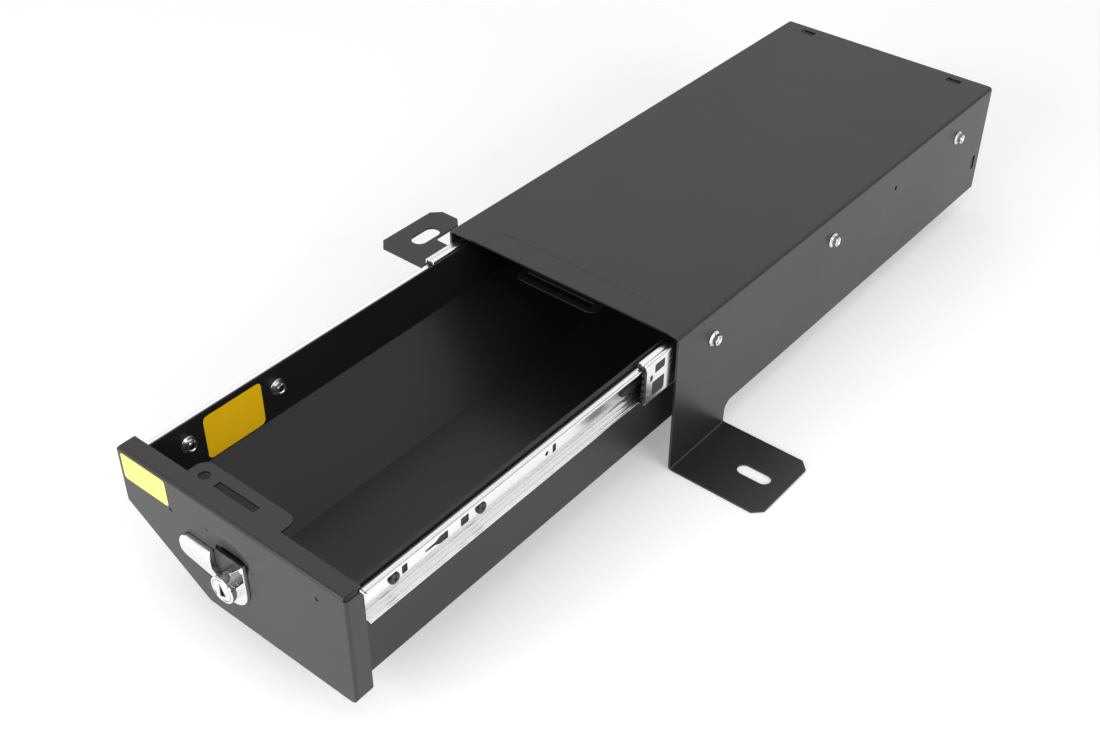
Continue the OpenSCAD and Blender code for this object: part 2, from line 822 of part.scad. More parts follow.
module drawer_tray() {
    color(black) opened(1) difference() {
        along_y(tray_y0, tray_y1)
            folded_sheet(tray_section, tray_t, tray_bend_r);
        for (y = drawer_screw_ys)
            screw_hole_x(inner_front_y + y, slide_z, screw_r + fit_gap);
    }
}

module end_wall(y)
    along_y(y, y + tray_t)
        polygon(tray_section);

// Front wall of the tray, cut away round the lock and the finger scoop
module drawer_front_wall() {
    color(black) opened(1) difference() {
        end_wall(front_wall_y);
        along_y(front_wall_y - overrun, tray_y0 + overrun) {
            translate([lock_x, scoop_z + scoop_rise])
                circle(r = front_window_r);
            translate([lock_x, lock_z])
                circle(r = lock_window_r);
            rect(lock_x - lock_window_r, lock_z, lock_x + lock_window_r, scoop_z);
        }
    }
}

module drawer_back()
    color(black) opened(1) end_wall(tray_y1);

// Pan head screws from inside the inner members through the tray's walls
module drawer_screws() {
    reach = member_t + tray_t + nut_stack + screw_end;
    color(dark_steel) opened(1) for (side = ["left", "right"], y = drawer_screw_ys)
        at_wall(side) translate([slide_t - member_t, inner_front_y + y, 0]) rotate([0, 90, 0]) difference() {
            union() {
                cylinder(h = reach, r = screw_r);
                translate([0, 0, -pan_head_t])
                    cylinder(h = pan_head_t, r = pan_head_r);
            }
            for (turn = [0, 90])
                translate([0, 0, -pan_head_t])
                    rotate(turn)
                        cube([recess_w, recess_l, 2 * recess_d], center = true);
        }
}

module drawer_nuts() {
    color(chrome) opened(1) for (side = ["left", "right"], y = drawer_screw_ys)
        at_wall(side) translate([slide_t + tray_t, inner_front_y + y, 0]) rotate([0, 90, 0])
            flange_nut();
}

// Front panel
module front_panel() {
    color(black) opened(1) difference() {
        union() {
            intersection() {
                panel_folds();
                along_y(-overrun, flange_d + overrun)
                    polygon(rounded([[panel_x0, panel_left_z], [panel_slope_x, panel_bottom_z],
                        [panel_x1, panel_bottom_z], [panel_x1, panel_top_z], [panel_x0, panel_top_z]],
                        [0, 0, panel_corner_r, 0, 0]));
            }
            tongue();
            scoop_shell();
        }
        scoop_hollow();
        rod_y(lock_x, lock_z, barrel_d / 2 + fit_gap, -overrun, panel_t + overrun);
        for (share = dimple_shares)
            rod_y(panel_x0 + (panel_x1 - panel_x0) * share[0],
                panel_bottom_z + (panel_top_z - panel_bottom_z) * share[1], dimple_r, -overrun, dimple_d);
    }
}

// The panel's face with its top flange and its two side flanges
module panel_folds() {
    along_x(panel_x0 + panel_fold_r, panel_x1 - panel_fold_r)
        folded_sheet([[flange_d, panel_top_z], [0, panel_top_z], [0, panel_bottom_z]], panel_t, panel_bend_r);
    intersection() {
        along_z(panel_bottom_z, panel_top_z - panel_fold_r)
            folded_sheet([[panel_x0, flange_d], [panel_x0, 0], [panel_x1, 0], [panel_x1, flange_d]],
                panel_t, panel_bend_r);
        along_x(panel_x0, panel_x1)
            polygon(rounded(box_points(0, panel_bottom_z, flange_d, panel_top_z - panel_t - flange_slit),
                [0, flange_corner_r, flange_corner_r, 0]));
    }
}

module tongue() {
    difference() {
        along_z(panel_top_z - panel_t, panel_top_z)
            polygon(rounded(box_points(tongue_x0, flange_d - panel_t, tongue_x0 + tongue_w, tongue_d),
                [0, 0, tongue_r, tongue_r]));
        along_z(panel_top_z - panel_t - overrun, panel_top_z + overrun) {
            rect(tongue_slot_x0, cam_slot_y0, tongue_slot_x1, cam_slot_y1);
            translate([tongue_hole_x, tongue_hole_y])
                circle(d = tongue_hole_d);
        }
    }
}

// Skin and hollow of the finger scoop: a spherical dish, cut off and open along its lower edge
module scoop_ball(r)
    translate([lock_x, scoop_d - scoop_ball_r, scoop_z + scoop_rise])
        sphere(r = r, $fn = 96);

module scoop_shell()
    intersection() {
        scoop_ball(scoop_ball_r + panel_t);
        translate([lock_x - 2 * scoop_r, 0, scoop_z])
            cube([4 * scoop_r, scoop_d + panel_t, 2 * scoop_r]);
    }

module scoop_hollow()
    intersection() {
        scoop_ball(scoop_ball_r);
        translate([lock_x - 2 * scoop_r, -overrun, scoop_z - scoop_slit])
            cube([4 * scoop_r, scoop_d + 2 * overrun, 2 * scoop_r + scoop_slit]);
    }

// Finger pull: a plate round the lock with a bowed arm to the left
module finger_pull() {
    color(chrome) opened(1) difference() {
        union() {
            along_y(-pull_t, 0)
                pull_outline();
            intersection() {
                along_y(-pull_t - pull_bow, -pull_skin)
                    pull_arm_outline();
                rotate([0, 90, 0])
                    translate([-pull_arm_z - pull_arm_h / 2, bow_r - pull_t - pull_bow, 0])
                        cylinder(h = housing_w, r = bow_r, $fn = 96);
            }
        }
        intersection() {
            along_y(-pull_t - pull_bow, overrun)
                pull_arm_hollow();
            rotate([0, 90, 0])
                translate([-pull_arm_z - pull_arm_h / 2, bow_r - pull_t - pull_bow, 0])
                    cylinder(h = housing_w, r = bow_r - pull_skin, $fn = 96);
        }
        rod_y(lock_x, lock_z, barrel_d / 2 + fit_gap, -pull_t - overrun, overrun);
        along_y(-pull_t - pull_bow - overrun, overrun)
            pull_notch();
    }
}

module pull_outline() {
    translate([lock_x, lock_z])
        circle(r = pull_lobe_r);
    rect(lock_x, lock_z, lock_x + pull_lobe_r, pull_top_z);
    pull_arm_outline();
}

module pull_arm_outline()
    polygon(rounded(box_points(lock_x - pull_arm_l, pull_arm_z, lock_x - lock_head_d / 2 - fit_gap, pull_arm_top_z),
        [pull_arm_r, 0, 0, pull_arm_r]));

// The hollow behind the arm, one skin smaller all round
module pull_arm_hollow()
    polygon(rounded(box_points(lock_x - pull_arm_l + pull_skin, pull_arm_z + pull_skin,
        lock_x - pull_lobe_r - pull_skin, pull_arm_top_z - pull_skin),
        [pull_arm_r - pull_skin, 0, 0, pull_arm_r - pull_skin]));

// Notch above the lock, from the arm's end round to the horn on the right
module pull_notch() {
    corners = [for (share = pull_notch_shares) [lock_x, lock_z] + share * pull_lobe_r];
    top_z = pull_top_z + overrun;
    polygon(rounded(concat(corners, [[corners[3][0], top_z], [corners[0][0], top_z]]),
        [pull_notch_corner_r, pull_notch_hollow_r, pull_notch_bend_r, 0, 0, 0]));
}

// Lock
module lock_body() {
    color(chrome) opened(1) difference() {
        union() {
            rod_y(lock_x, lock_z, lock_head_d / 2, head_rim - lock_head_out, -pull_t);
            translate([lock_x, head_rim - lock_head_out, lock_z])
                rotate([90, 0, 0])
                    cylinder(h = head_rim, r1 = lock_head_d / 2, r2 = lock_head_d / 2 - head_rim);
            rod_y(lock_x, lock_z, barrel_d / 2, -pull_t, barrel_end_y);
        }
        rod_y(lock_x, lock_z, plug_d / 2 + running_gap, -lock_head_out - overrun, barrel_end_y + overrun);
        rod_y(lock_x, lock_z, plug_face_r + running_gap, -lock_head_out - overrun,
            plug_face_t + running_gap - lock_head_out);
    }
}

module lock_nut() {
    color(zinc) opened(1) difference() {
        translate([lock_x, panel_t + lock_nut_t, lock_z])
            rotate([90, 0, 0])
                cylinder(h = lock_nut_t, d = lock_nut_af / cos(30), $fn = 6);
        rod_y(lock_x, lock_z, barrel_d / 2 + running_gap, panel_t - overrun, panel_t + lock_nut_t + overrun);
    }
}

module lock_plug() {
    color(chrome) opened(1) difference() {
        union() {
            rod_y(lock_x, lock_z, plug_d / 2, -lock_head_out, plug_end_y);
            rod_y(lock_x, lock_z, plug_face_r, -lock_head_out, plug_face_t - lock_head_out);
            translate([lock_x, (plug_end_y + cam_y + cam_t) / 2, lock_z])
                cube([square_drive, cam_y + cam_t - plug_end_y, square_drive], center = true);
        }
        along_y(-lock_head_out - overrun, keyway_d - lock_head_out)
            polygon([[lock_x - keyway_side, lock_z - keyway_h / 2], [lock_x - keyway_side + keyway_w, lock_z],
                [lock_x - keyway_side, lock_z + keyway_h / 2]]);
        rod_y(lock_x, lock_z, cam_screw_r + running_gap, cam_y + cam_t - cam_screw_l, cam_y + cam_t + overrun);
    }
}

module lock_cam() {
    color(zinc) opened(1) along_y(cam_y, cam_y + cam_t)
        difference() {
            union() {
                translate([lock_x, lock_z])
                    circle(d = cam_w);
                rect(lock_x - cam_reach + cam_w / 2, lock_z - cam_w / 2, lock_x, lock_z + cam_w / 2);
                translate([lock_x - cam_reach + cam_w / 2, lock_z])
                    circle(d = cam_w);
            }
            translate([lock_x, lock_z])
                square(square_drive + 2 * running_gap, center = true);
        }
}

module cam_screw() {
    color(zinc) opened(1) {
        rod_y(lock_x, lock_z, cam_screw_r, cam_y + cam_t - cam_screw_l + overrun, cam_y + cam_t);
        rod_y(lock_x, lock_z, cam_screw_head_r, cam_y + cam_t, cam_y + cam_t + cam_screw_head_t);
    }
}

// Blank stickers
module front_label() {
    x0 = panel_x0 + front_label_side;
    z1 = panel_top_z - front_label_top;
    color("khaki") opened(1) along_y(-label_t, 0)
        polygon(rounded_all(box_points(x0, z1 - front_label_h, x0 + front_label_w, z1), front_label_r));
}

module tray_label() {
    x = tray_x0 + tray_t;
    color("goldenrod") opened(1) along_x(x, x + label_t)
        polygon(rounded_all(box_points(tray_label_y0, tray_label_z, tray_label_y1,
            tray_label_z + tray_label_h), tray_label_r));
}

housing_shell();
rear_panel();
strike_bracket();
housing_screws();
housing_nuts();
outer_member("left");  // slide_outer_left
outer_member("right");  // slide_outer_right
mid_member("left");  // slide_mid_left
mid_member("right");  // slide_mid_right
bumpers("left");  // slide_bumpers_left
bumpers("right");  // slide_bumpers_right
inner_member("left");  // slide_inner_left
inner_member("right");  // slide_inner_right
outer_cage("left");  // cage_outer_left
outer_cage("right");  // cage_outer_right
inner_cage("left");  // cage_inner_left
inner_cage("right");  // cage_inner_right
outer_cage_balls("left");  // balls_outer_left
outer_cage_balls("right");  // balls_outer_right
inner_cage_balls("left");  // balls_inner_left
inner_cage_balls("right");  // balls_inner_right
release_lever("left");  // release_lever_left
release_lever("right");  // release_lever_right
lever_rivets();
drawer_tray();
drawer_front_wall();
drawer_back();
drawer_screws();
drawer_nuts();
front_panel();
finger_pull();
lock_body();
lock_nut();
lock_plug();
lock_cam();
cam_screw();
front_label();
tray_label();
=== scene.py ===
"""Builds the visible pieces of an under-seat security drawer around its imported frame."""

import math

import bmesh
import bpy
from mathutils import Matrix, Vector


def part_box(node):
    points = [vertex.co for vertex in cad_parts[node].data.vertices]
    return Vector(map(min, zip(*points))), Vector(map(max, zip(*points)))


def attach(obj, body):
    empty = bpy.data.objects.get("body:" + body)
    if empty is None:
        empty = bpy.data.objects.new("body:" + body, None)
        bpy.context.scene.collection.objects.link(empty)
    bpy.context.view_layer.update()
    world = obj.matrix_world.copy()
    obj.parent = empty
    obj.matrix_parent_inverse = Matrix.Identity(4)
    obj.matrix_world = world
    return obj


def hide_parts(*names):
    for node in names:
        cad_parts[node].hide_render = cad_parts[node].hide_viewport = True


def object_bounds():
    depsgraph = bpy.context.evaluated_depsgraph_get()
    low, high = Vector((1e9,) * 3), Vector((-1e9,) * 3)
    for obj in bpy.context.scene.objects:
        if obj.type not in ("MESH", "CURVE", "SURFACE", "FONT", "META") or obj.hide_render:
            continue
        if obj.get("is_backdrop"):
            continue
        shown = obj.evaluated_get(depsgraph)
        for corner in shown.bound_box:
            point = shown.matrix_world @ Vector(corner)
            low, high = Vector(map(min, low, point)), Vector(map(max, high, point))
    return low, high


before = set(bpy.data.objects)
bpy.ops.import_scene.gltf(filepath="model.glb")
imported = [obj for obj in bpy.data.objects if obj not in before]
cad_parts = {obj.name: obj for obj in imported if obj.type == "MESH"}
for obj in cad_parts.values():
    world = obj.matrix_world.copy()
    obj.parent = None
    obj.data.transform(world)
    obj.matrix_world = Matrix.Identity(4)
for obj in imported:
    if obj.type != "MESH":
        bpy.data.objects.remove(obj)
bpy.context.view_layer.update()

bl_info = {
    "name": "Under-seat security drawer",
    "version": (1, 0, 0),
    "blender": (4, 5, 0),
    "location": "View3D > Sidebar > Drawer",
    "description": "Builds a lockable steel drawer that slides out of a bolted-down housing",
    "category": "Add Mesh",
}

MM = 0.001

# Height of the housing and of the slides' centre line in it, and the thickness of its sheet
HOUSING_HEIGHT = 108 * MM
SLIDE_HEIGHT = 81.2 * MM
SHEET = 2 * MM

# Faces of the frame that the new pieces are set out from
SHELL_LOW, SHELL_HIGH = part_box("housing_shell")
REAR_LOW, REAR_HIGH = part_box("rear_panel")
LEFT_WALL = REAR_LOW.x
RIGHT_WALL = REAR_HIGH.x
REAR_MIDDLE = (REAR_LOW.y + REAR_HIGH.y) / 2
HOUSING_TOP = SHELL_HIGH.z
HOUSING_FRONT = SHELL_LOW.y
PANEL_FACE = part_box("front_label")[1].y
PANEL_BACK = PANEL_FACE + SHEET
BASE = HOUSING_TOP - HOUSING_HEIGHT
CENTRE_LINE = BASE + SLIDE_HEIGHT
LOCK = Vector((LEFT_WALL + 111 * MM, PANEL_FACE, BASE + 48 * MM))
ORIGIN = Vector((0, 0, 0))
FRONTWARDS = Vector((0, -1, 0))
RIGHTWARDS = Vector((1, 0, 0))

# Middles of the rear panel's tabs in the housing's top, in millimetres from the left wall
TAB_XS = (31, 190.8)
# Screws in the housing's walls, in millimetres from its front edge
HOUSING_SCREW_YS = (46.99, 222.0, 446.02)
# Screws in the drawer's members, in millimetres from their front ends
DRAWER_SCREW_YS = (28.01, 109.0, 385.02)
# Seats of the drawer's screw heads and nuts, in millimetres from the housing's inner faces
HEAD_SEAT = 11.5
NUT_SEAT = 14.2
# Thickness of the slide members' strip, in millimetres
STRIP = 1.2
# Holes in a middle member: place from its front end, height from the centre line, and shape, in millimetres
MIDDLE_WINDOWS = (
    (17, 10, (12, 7.6, 1.2)),
    (15.5, -7.5, (15, 13, 1.4)),
    (6.9, 3.6, (3.2, 5.4, 1.55)),
)
# Holes in a drawer's member on its centre line: place from its front end, and shape, in millimetres
ARROW = [(0, -0.7), (9.5, -1.3), (13.5, -3.3), (21, -3.3), (21, 3.3), (13.5, 3.3), (9.5, 1.3), (0, 0.7)]
DRAWER_WEB_HOLES = (
    *((y, 2.6) for y in DRAWER_SCREW_YS),
    (38.02, (4.8, 7, 0.6)),
    (93.73, (7.5, 7, 0.8)),
    (177, 1.8),
    (185, (3.6, 7, 0.6)),
    (291, 1.6),
    (56.71, ARROW),
)
# Slabs of plastic at a middle member's front end, in millimetres: their spans out from the housing's inner
# face, along from the member's front end and up from the centre line
TEETH = ((-15, -10), (-8, -4), (-1.5, 2.5), (5, 7.5), (10, 13))
PLASTIC_SLABS = (
    ((2.7, 3.55), (11.1, 22.9), (6.3, 13.7)),
    ((2.7, 3.55), (8.1, 22.9), (-13.9, -1.1)),
    ((2.2, 4.6), (-1.7, 0.6), (-15.5, 13.5)),
    *(((2.5, 4.4), (-3, -1.6), tooth) for tooth in TEETH),
    ((3.7, 4.3), (4.5, 9.5), (0.5, 6.7)),
)
# Height of a flange nut over its foot, in millimetres
NUT_TOP = 5.3

# The camera: its place, its azimuth, elevation and roll in degrees, its lens and its shift
CAMERA_PLACE = (0.4013, -0.7433, 0.7630)
CAMERA_ANGLES = (38.13, 37.87, 1.03)
CAMERA_LENS = 47.55
CAMERA_SHIFT = (-0.0191, -0.0107)


def at_housing(x, y, z):
    """A place given in millimetres from the housing's left wall, front edge and lower right edge."""
    return Vector((LEFT_WALL + x * MM, HOUSING_FRONT + y * MM, BASE + z * MM))


def at_drawer(x, y, z):
    """The same, on the drawer, with y = 0 at the front panel's face."""
    return Vector((LEFT_WALL + x * MM, PANEL_FACE + y * MM, BASE + z * MM))


def at_lock(x, y, z):
    """A place given in millimetres from the lock's axis, with y = 0 at the front panel's face."""
    return LOCK + Vector((x * MM, y * MM, z * MM))


def at_top_tab(x, y, z):
    """A place given in millimetres from the left wall, the rear panel's middle and the housing's top."""
    return Vector((LEFT_WALL + x * MM, REAR_MIDDLE + y * MM, HOUSING_TOP + z * MM))


def at_side_tab(x, y, z):
    """A place given in millimetres from the right wall, the rear panel's middle and the lower right edge."""
    return Vector((RIGHT_WALL + x * MM, REAR_MIDDLE + y * MM, BASE + z * MM))


def from_wall(side, out, y, z):
    """A place at y in metres, with out and z in millimetres from a wall's inner face and the centre line."""
    inner = LEFT_WALL + SHEET + out * MM if side == "left" else RIGHT_WALL - SHEET - out * MM
    return Vector((inner, y, CENTRE_LINE + z * MM))


def in_mm(outline):
    """An outline that is given in millimetres, for turning."""
    return [(radius * MM, height * MM) for radius, height in outline]


# ---------------------------------------------------------------- modelling

def put_down():
    """Leaves edit mode and deselects everything."""
    if bpy.context.object and bpy.context.object.mode != "OBJECT":
        bpy.ops.object.mode_set(mode="OBJECT")
    bpy.ops.object.select_all(action="DESELECT")


def take(piece):
    """Makes a piece the only one selected, and the active one."""
    put_down()
    piece.select_set(True)
    bpy.context.view_layer.objects.active = piece


def open_mesh(piece, kind="FACE"):
    """Goes into edit mode on a piece with nothing selected."""
    take(piece)
    bpy.ops.object.mode_set(mode="EDIT")
    bpy.ops.mesh.select_mode(type=kind)
    bpy.ops.mesh.select_all(action="DESELECT")


def close_mesh():
    """Goes back to object mode."""
    bpy.ops.object.mode_set(mode="OBJECT")


def pick(piece, kind, test):
    """Selects the faces, edges or verts of the open mesh that pass a test."""
    bpy.ops.mesh.select_mode(type=kind)
    mesh = bmesh.from_edit_mesh(piece.data)
    group = {"FACE": mesh.faces, "EDGE": mesh.edges, "VERT": mesh.verts}[kind]
    for part in group:
        part.select_set(False)
    for part in [part for part in group if test(part)]:
        part.select_set(True)
    mesh.select_flush_mode()
    bmesh.update_edit_mesh(piece.data)


def apply_modifier(piece, kind, **settings):
    """Adds a modifier with these settings and applies it."""
    take(piece)
    modifier = piece.modifiers.new(kind.lower(), kind)
    for name, value in settings.items():
        setattr(modifier, name, value)
    bpy.ops.object.modifier_apply(modifier=modifier.name)


def soften(piece, width, segments=2, angle=28):
    """Rounds the sharp edges of a finished shape and shades the rest smooth."""
    apply_modifier(piece, "BEVEL", width=width, segments=segments, limit_method="ANGLE",
                   angle_limit=math.radians(angle), use_clamp_overlap=False, miter_outer="MITER_ARC")
    smooth(piece)


def smooth(piece, angle=34):
    """Shades a piece smooth, with each large face kept flat."""
    take(piece)
    bpy.ops.object.shade_smooth_by_angle(angle=math.radians(angle))
    apply_modifier(piece, "WEIGHTED_NORMAL", mode="FACE_AREA", weight=60, keep_sharp=True)


def cut(piece, cutter, how="DIFFERENCE"):
    """Cuts one piece with another, which is then thrown away."""
    apply_modifier(piece, "BOOLEAN", operation=how, object=cutter, solver="EXACT")
    tool = cutter.data
    bpy.data.objects.remove(cutter)
    bpy.data.meshes.remove(tool)


def weld(pieces):
    """Joins pieces into the first one."""
    put_down()
    for piece in pieces:
        piece.select_set(True)
    bpy.context.view_layer.objects.active = pieces[0]
    bpy.ops.object.join()
    return pieces[0]


def recalculate(piece):
    """Merges doubled vertices and turns every face outwards."""
    open_mesh(piece)
    bpy.ops.mesh.select_all(action="SELECT")
    bpy.ops.mesh.remove_doubles(threshold=1e-6)
    bpy.ops.mesh.normals_make_consistent(inside=False)
    close_mesh()


def settle(piece):
    """Puts the object at the origin, unturned and unscaled, with its place in its mesh."""
    take(piece)
    bpy.ops.object.transform_apply(location=True, rotation=True, scale=True)
    return piece


def block(name, low, high):
    """A box between two corners."""
    put_down()
    bpy.ops.mesh.primitive_cube_add(size=1, location=(low + high) / 2, scale=high - low)
    piece = settle(bpy.context.object)
    piece.name = piece.data.name = name
    return piece


def traced(name, node, fold=0.6):
    """A new mesh that starts as a merged copy of a frame node, with its flat faces whole again."""
    piece = bpy.data.objects.new(name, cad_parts[node].data.copy())
    bpy.context.scene.collection.objects.link(piece)
    piece.data.name = name
    piece.data.materials.clear()
    open_mesh(piece, "VERT")
    bpy.ops.mesh.select_all(action="SELECT")
    bpy.ops.mesh.remove_doubles(threshold=2e-6)
    bpy.ops.mesh.dissolve_limited(angle_limit=math.radians(fold))
    close_mesh()
    return piece


def along_path(name, points):
    """A wire through these points: one vertex that is extruded from point to point."""
    put_down()
    bpy.ops.mesh.primitive_plane_add(size=0.001, location=points[0])
    piece = settle(bpy.context.object)
    piece.name = piece.data.name = name
    open_mesh(piece, "VERT")
    bpy.ops.mesh.select_all(action="SELECT")
    bpy.ops.mesh.merge(type="CENTER")
    for before, after in zip(points, points[1:]):
        bpy.ops.mesh.extrude_vertices_move(TRANSFORM_OT_translate={"value": after - before})
    close_mesh()
    return piece


def turned(name, foot, along, outline, sides=56):
    """A turned shape: the outline, as (radius, height) from foot, spun round the axis."""
    direction = Vector(along).normalized()
    side = direction.orthogonal().normalized()
    piece = along_path(name, [foot + side * radius + direction * height for radius, height in outline])
    open_mesh(piece, "VERT")
    bpy.ops.mesh.select_all(action="SELECT")
    bpy.ops.mesh.spin(steps=sides, angle=math.tau, center=foot, axis=direction)
    close_mesh()
    recalculate(piece)
    return piece


def drawn(name, points, reach):
    """A flat outline that is filled and extruded."""
    piece = along_path(name, points)
    open_mesh(piece, "VERT")
    bpy.ops.mesh.select_all(action="SELECT")
    bpy.ops.mesh.edge_face_add()
    bpy.ops.mesh.extrude_region_move(TRANSFORM_OT_translate={"value": reach})
    close_mesh()
    recalculate(piece)
    return piece


def sheet_along(name, points, reach, thickness):
    """A folded sheet: the line of its section's middle, extruded along its length and thickened."""
    piece = along_path(name, points)
    open_mesh(piece, "VERT")
    bpy.ops.mesh.select_all(action="SELECT")
    bpy.ops.mesh.select_mode(type="EDGE")
    bpy.ops.mesh.extrude_region_move(TRANSFORM_OT_translate={"value": reach})
    close_mesh()
    recalculate(piece)
    apply_modifier(piece, "SOLIDIFY", thickness=thickness * MM, offset=0, use_even_offset=True)
    return piece


def eased(points, radii, steps=5):
    """Flat points with an arc of its own radius at each corner, 0 for a sharp one."""
    line = []
    for i, (corner, radius) in enumerate(zip(points, radii)):
        if radius == 0 or i in (0, len(points) - 1):
            line.append(corner)
            continue
        corner = Vector(corner)
        back = (Vector(points[i - 1]) - corner).normalized()
        on = (Vector(points[i + 1]) - corner).normalized()
        half = back.angle(on) / 2
        middle = corner + (back + on).normalized() * radius / math.sin(half)
        first = corner + back * radius / math.tan(half) - middle
        last = corner + on * radius / math.tan(half) - middle
        start = math.atan2(first.y, first.x)
        sweep = (math.atan2(last.y, last.x) - start + math.pi) % math.tau - math.pi
        for step in range(steps + 1):
            angle = start + sweep * step / steps
            line.append((middle.x + radius * math.cos(angle), middle.y + radius * math.sin(angle)))
    return line


def copies(piece, places):
    """Copies a piece to places, each a matrix, and joins them all."""
    made = []
    for place in places:
        twin = piece.copy()
        twin.data = piece.data.copy()
        bpy.context.scene.collection.objects.link(twin)
        twin.matrix_world = place
        made.append(settle(twin))
    mesh = piece.data
    bpy.data.objects.remove(piece)
    bpy.data.meshes.remove(mesh)
    return weld(made)


def paint(piece, material):
    """Gives a piece one material."""
    piece.data.materials.clear()
    piece.data.materials.append(material)


def finish(piece, body, nodes, material):
    """Puts a finished piece on its body in place of its nodes."""
    settle(piece)
    paint(piece, material)
    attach(piece, body)
    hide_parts(*nodes)


# ---------------------------------------------------------------- materials

def new_material(name):
    """A material, with its node tree, its shader and the object's own coordinates."""
    material = bpy.data.materials.new(name)
    material.use_nodes = True
    tree = material.node_tree
    shader = tree.nodes["Principled BSDF"]
    place = tree.nodes.new("ShaderNodeTexCoord")
    return material, tree, shader, place.outputs["Object"]


def mapped(tree, coords, scale):
    """Coordinates stretched by a scale along each axis."""
    node = tree.nodes.new("ShaderNodeMapping")
    node.inputs["Scale"].default_value = scale
    tree.links.new(coords, node.inputs["Vector"])
    return node.outputs["Vector"]


def noise(tree, coords, scale, detail=3, roughness=0.5):
    """A noise from 0 to 1."""
    node = tree.nodes.new("ShaderNodeTexNoise")
    node.inputs["Scale"].default_value = scale
    node.inputs["Detail"].default_value = detail
    node.inputs["Roughness"].default_value = roughness
    tree.links.new(coords, node.inputs["Vector"])
    return node.outputs["Fac"]


def spread(tree, value, low, high, to_low, to_high):
    """Maps a value's range onto another."""
    node = tree.nodes.new("ShaderNodeMapRange")
    for socket, number in zip(("From Min", "From Max", "To Min", "To Max"), (low, high, to_low, to_high)):
        node.inputs[socket].default_value = number
    tree.links.new(value, node.inputs["Value"])
    return node.outputs["Result"]


def combine(tree, how, first, second):
    """Two values or numbers brought together by a math node."""
    node = tree.nodes.new("ShaderNodeMath")
    node.operation = how
    for socket, value in zip(node.inputs, (first, second)):
        if isinstance(value, (int, float)):
            socket.default_value = value
        else:
            tree.links.new(value, socket)
    return node.outputs["Value"]


def tinted(tree, amount, dark, light):
    """A colour between two, by an amount from 0 to 1."""
    node = tree.nodes.new("ShaderNodeMix")
    node.data_type = "RGBA"
    node.inputs["A"].default_value = (*dark, 1)
    node.inputs["B"].default_value = (*light, 1)
    tree.links.new(amount, node.inputs["Factor"])
    return node.outputs["Result"]


def bumped(tree, shader, height, strength, distance):
    """Lays a fine relief on a shader."""
    node = tree.nodes.new("ShaderNodeBump")
    node.inputs["Strength"].default_value = strength
    node.inputs["Distance"].default_value = distance
    tree.links.new(height, node.inputs["Height"])
    tree.links.new(node.outputs["Normal"], shader.inputs["Normal"])


def powder_coat(name, colour, rough=0.36, sheen=0.58):
    """Satin black powder coat: a fine orange peel, a slow change of tone, light dust and faint rubs."""
    material, tree, shader, coords = new_material(name)
    cloud = noise(tree, coords, 11, 4, 0.55)
    grain = noise(tree, coords, 1300, 2, 0.6)
    dust = spread(tree, noise(tree, coords, 620, 1), 0.73, 0.8, 0, 1)
    rubs = spread(tree, noise(tree, mapped(tree, coords, (26, 240, 120)), 1, 3), 0.64, 0.8, 0, 1)
    tone = combine(tree, "MULTIPLY", spread(tree, cloud, 0.3, 0.7, 0, 1), 0.4)
    tone = combine(tree, "ADD", tone, combine(tree, "MULTIPLY", grain, 0.3))
    tone = combine(tree, "ADD", tone, combine(tree, "MULTIPLY", dust, 0.5))
    tone = combine(tree, "ADD", tone, combine(tree, "MULTIPLY", rubs, 0.2))
    dark = tuple(c * 0.84 for c in colour)
    light = tuple(c * 1.36 for c in colour)
    tree.links.new(tinted(tree, tone, dark, light), shader.inputs["Base Color"])
    gloss = combine(tree, "ADD", spread(tree, cloud, 0.3, 0.7, rough - 0.03, rough + 0.03),
                    combine(tree, "MULTIPLY", rubs, -0.04))
    tree.links.new(gloss, shader.inputs["Roughness"])
    shader.inputs["Specular IOR Level"].default_value = sheen
    bumped(tree, shader, grain, 0.25, 0.00008)
    return material


def plated_steel(name, colour, rough, streak=(500, 5, 500), strength=0.001):
    """Bright plated strip, with fine drawing lines along it and a slow change of gloss."""
    material, tree, shader, coords = new_material(name)
    lines = noise(tree, mapped(tree, coords, streak), 1, 3, 0.6)
    cloud = noise(tree, coords, 18, 2, 0.5)
    scratches = spread(tree, noise(tree, mapped(tree, coords, (1500, 40, 1500)), 1, 1), 0.68, 0.74, 0, 1)
    tone = combine(tree, "ADD", combine(tree, "MULTIPLY", lines, 0.7),
                   combine(tree, "MULTIPLY", cloud, 0.3))
    tone = combine(tree, "SUBTRACT", tone, combine(tree, "MULTIPLY", scratches, 0.25))
    dark = tuple(c * 0.965 for c in colour)
    tree.links.new(tinted(tree, tone, dark, colour), shader.inputs["Base Color"])
    gloss = combine(tree, "ADD", spread(tree, cloud, 0.3, 0.7, rough - 0.02, rough + 0.02),
                    spread(tree, lines, 0.3, 0.7, -0.006, 0.006))
    gloss = combine(tree, "ADD", gloss, combine(tree, "MULTIPLY", scratches, 0.12))
    tree.links.new(gloss, shader.inputs["Roughness"])
    shader.inputs["Metallic"].default_value = 1
    bumped(tree, shader, lines, strength, 0.00004)
    return material


def polished(name, colour, rough):
    """Polished plating with faint smears, a light orange peel and pits."""
    material, tree, shader, coords = new_material(name)
    smear = noise(tree, mapped(tree, coords, (150, 60, 110)), 1, 4, 0.6)
    pits = spread(tree, noise(tree, coords, 2200, 1), 0.72, 0.8, 0, 1)
    dark = tuple(c * 0.92 for c in colour)
    tree.links.new(tinted(tree, smear, dark, colour), shader.inputs["Base Color"])
    gloss = combine(tree, "ADD", spread(tree, smear, 0.35, 0.7, rough, rough + 0.05),
                    combine(tree, "MULTIPLY", pits, 0.1))
    tree.links.new(gloss, shader.inputs["Roughness"])
    shader.inputs["Metallic"].default_value = 1
    bumped(tree, shader, smear, 0.03, 0.00005)
    return material


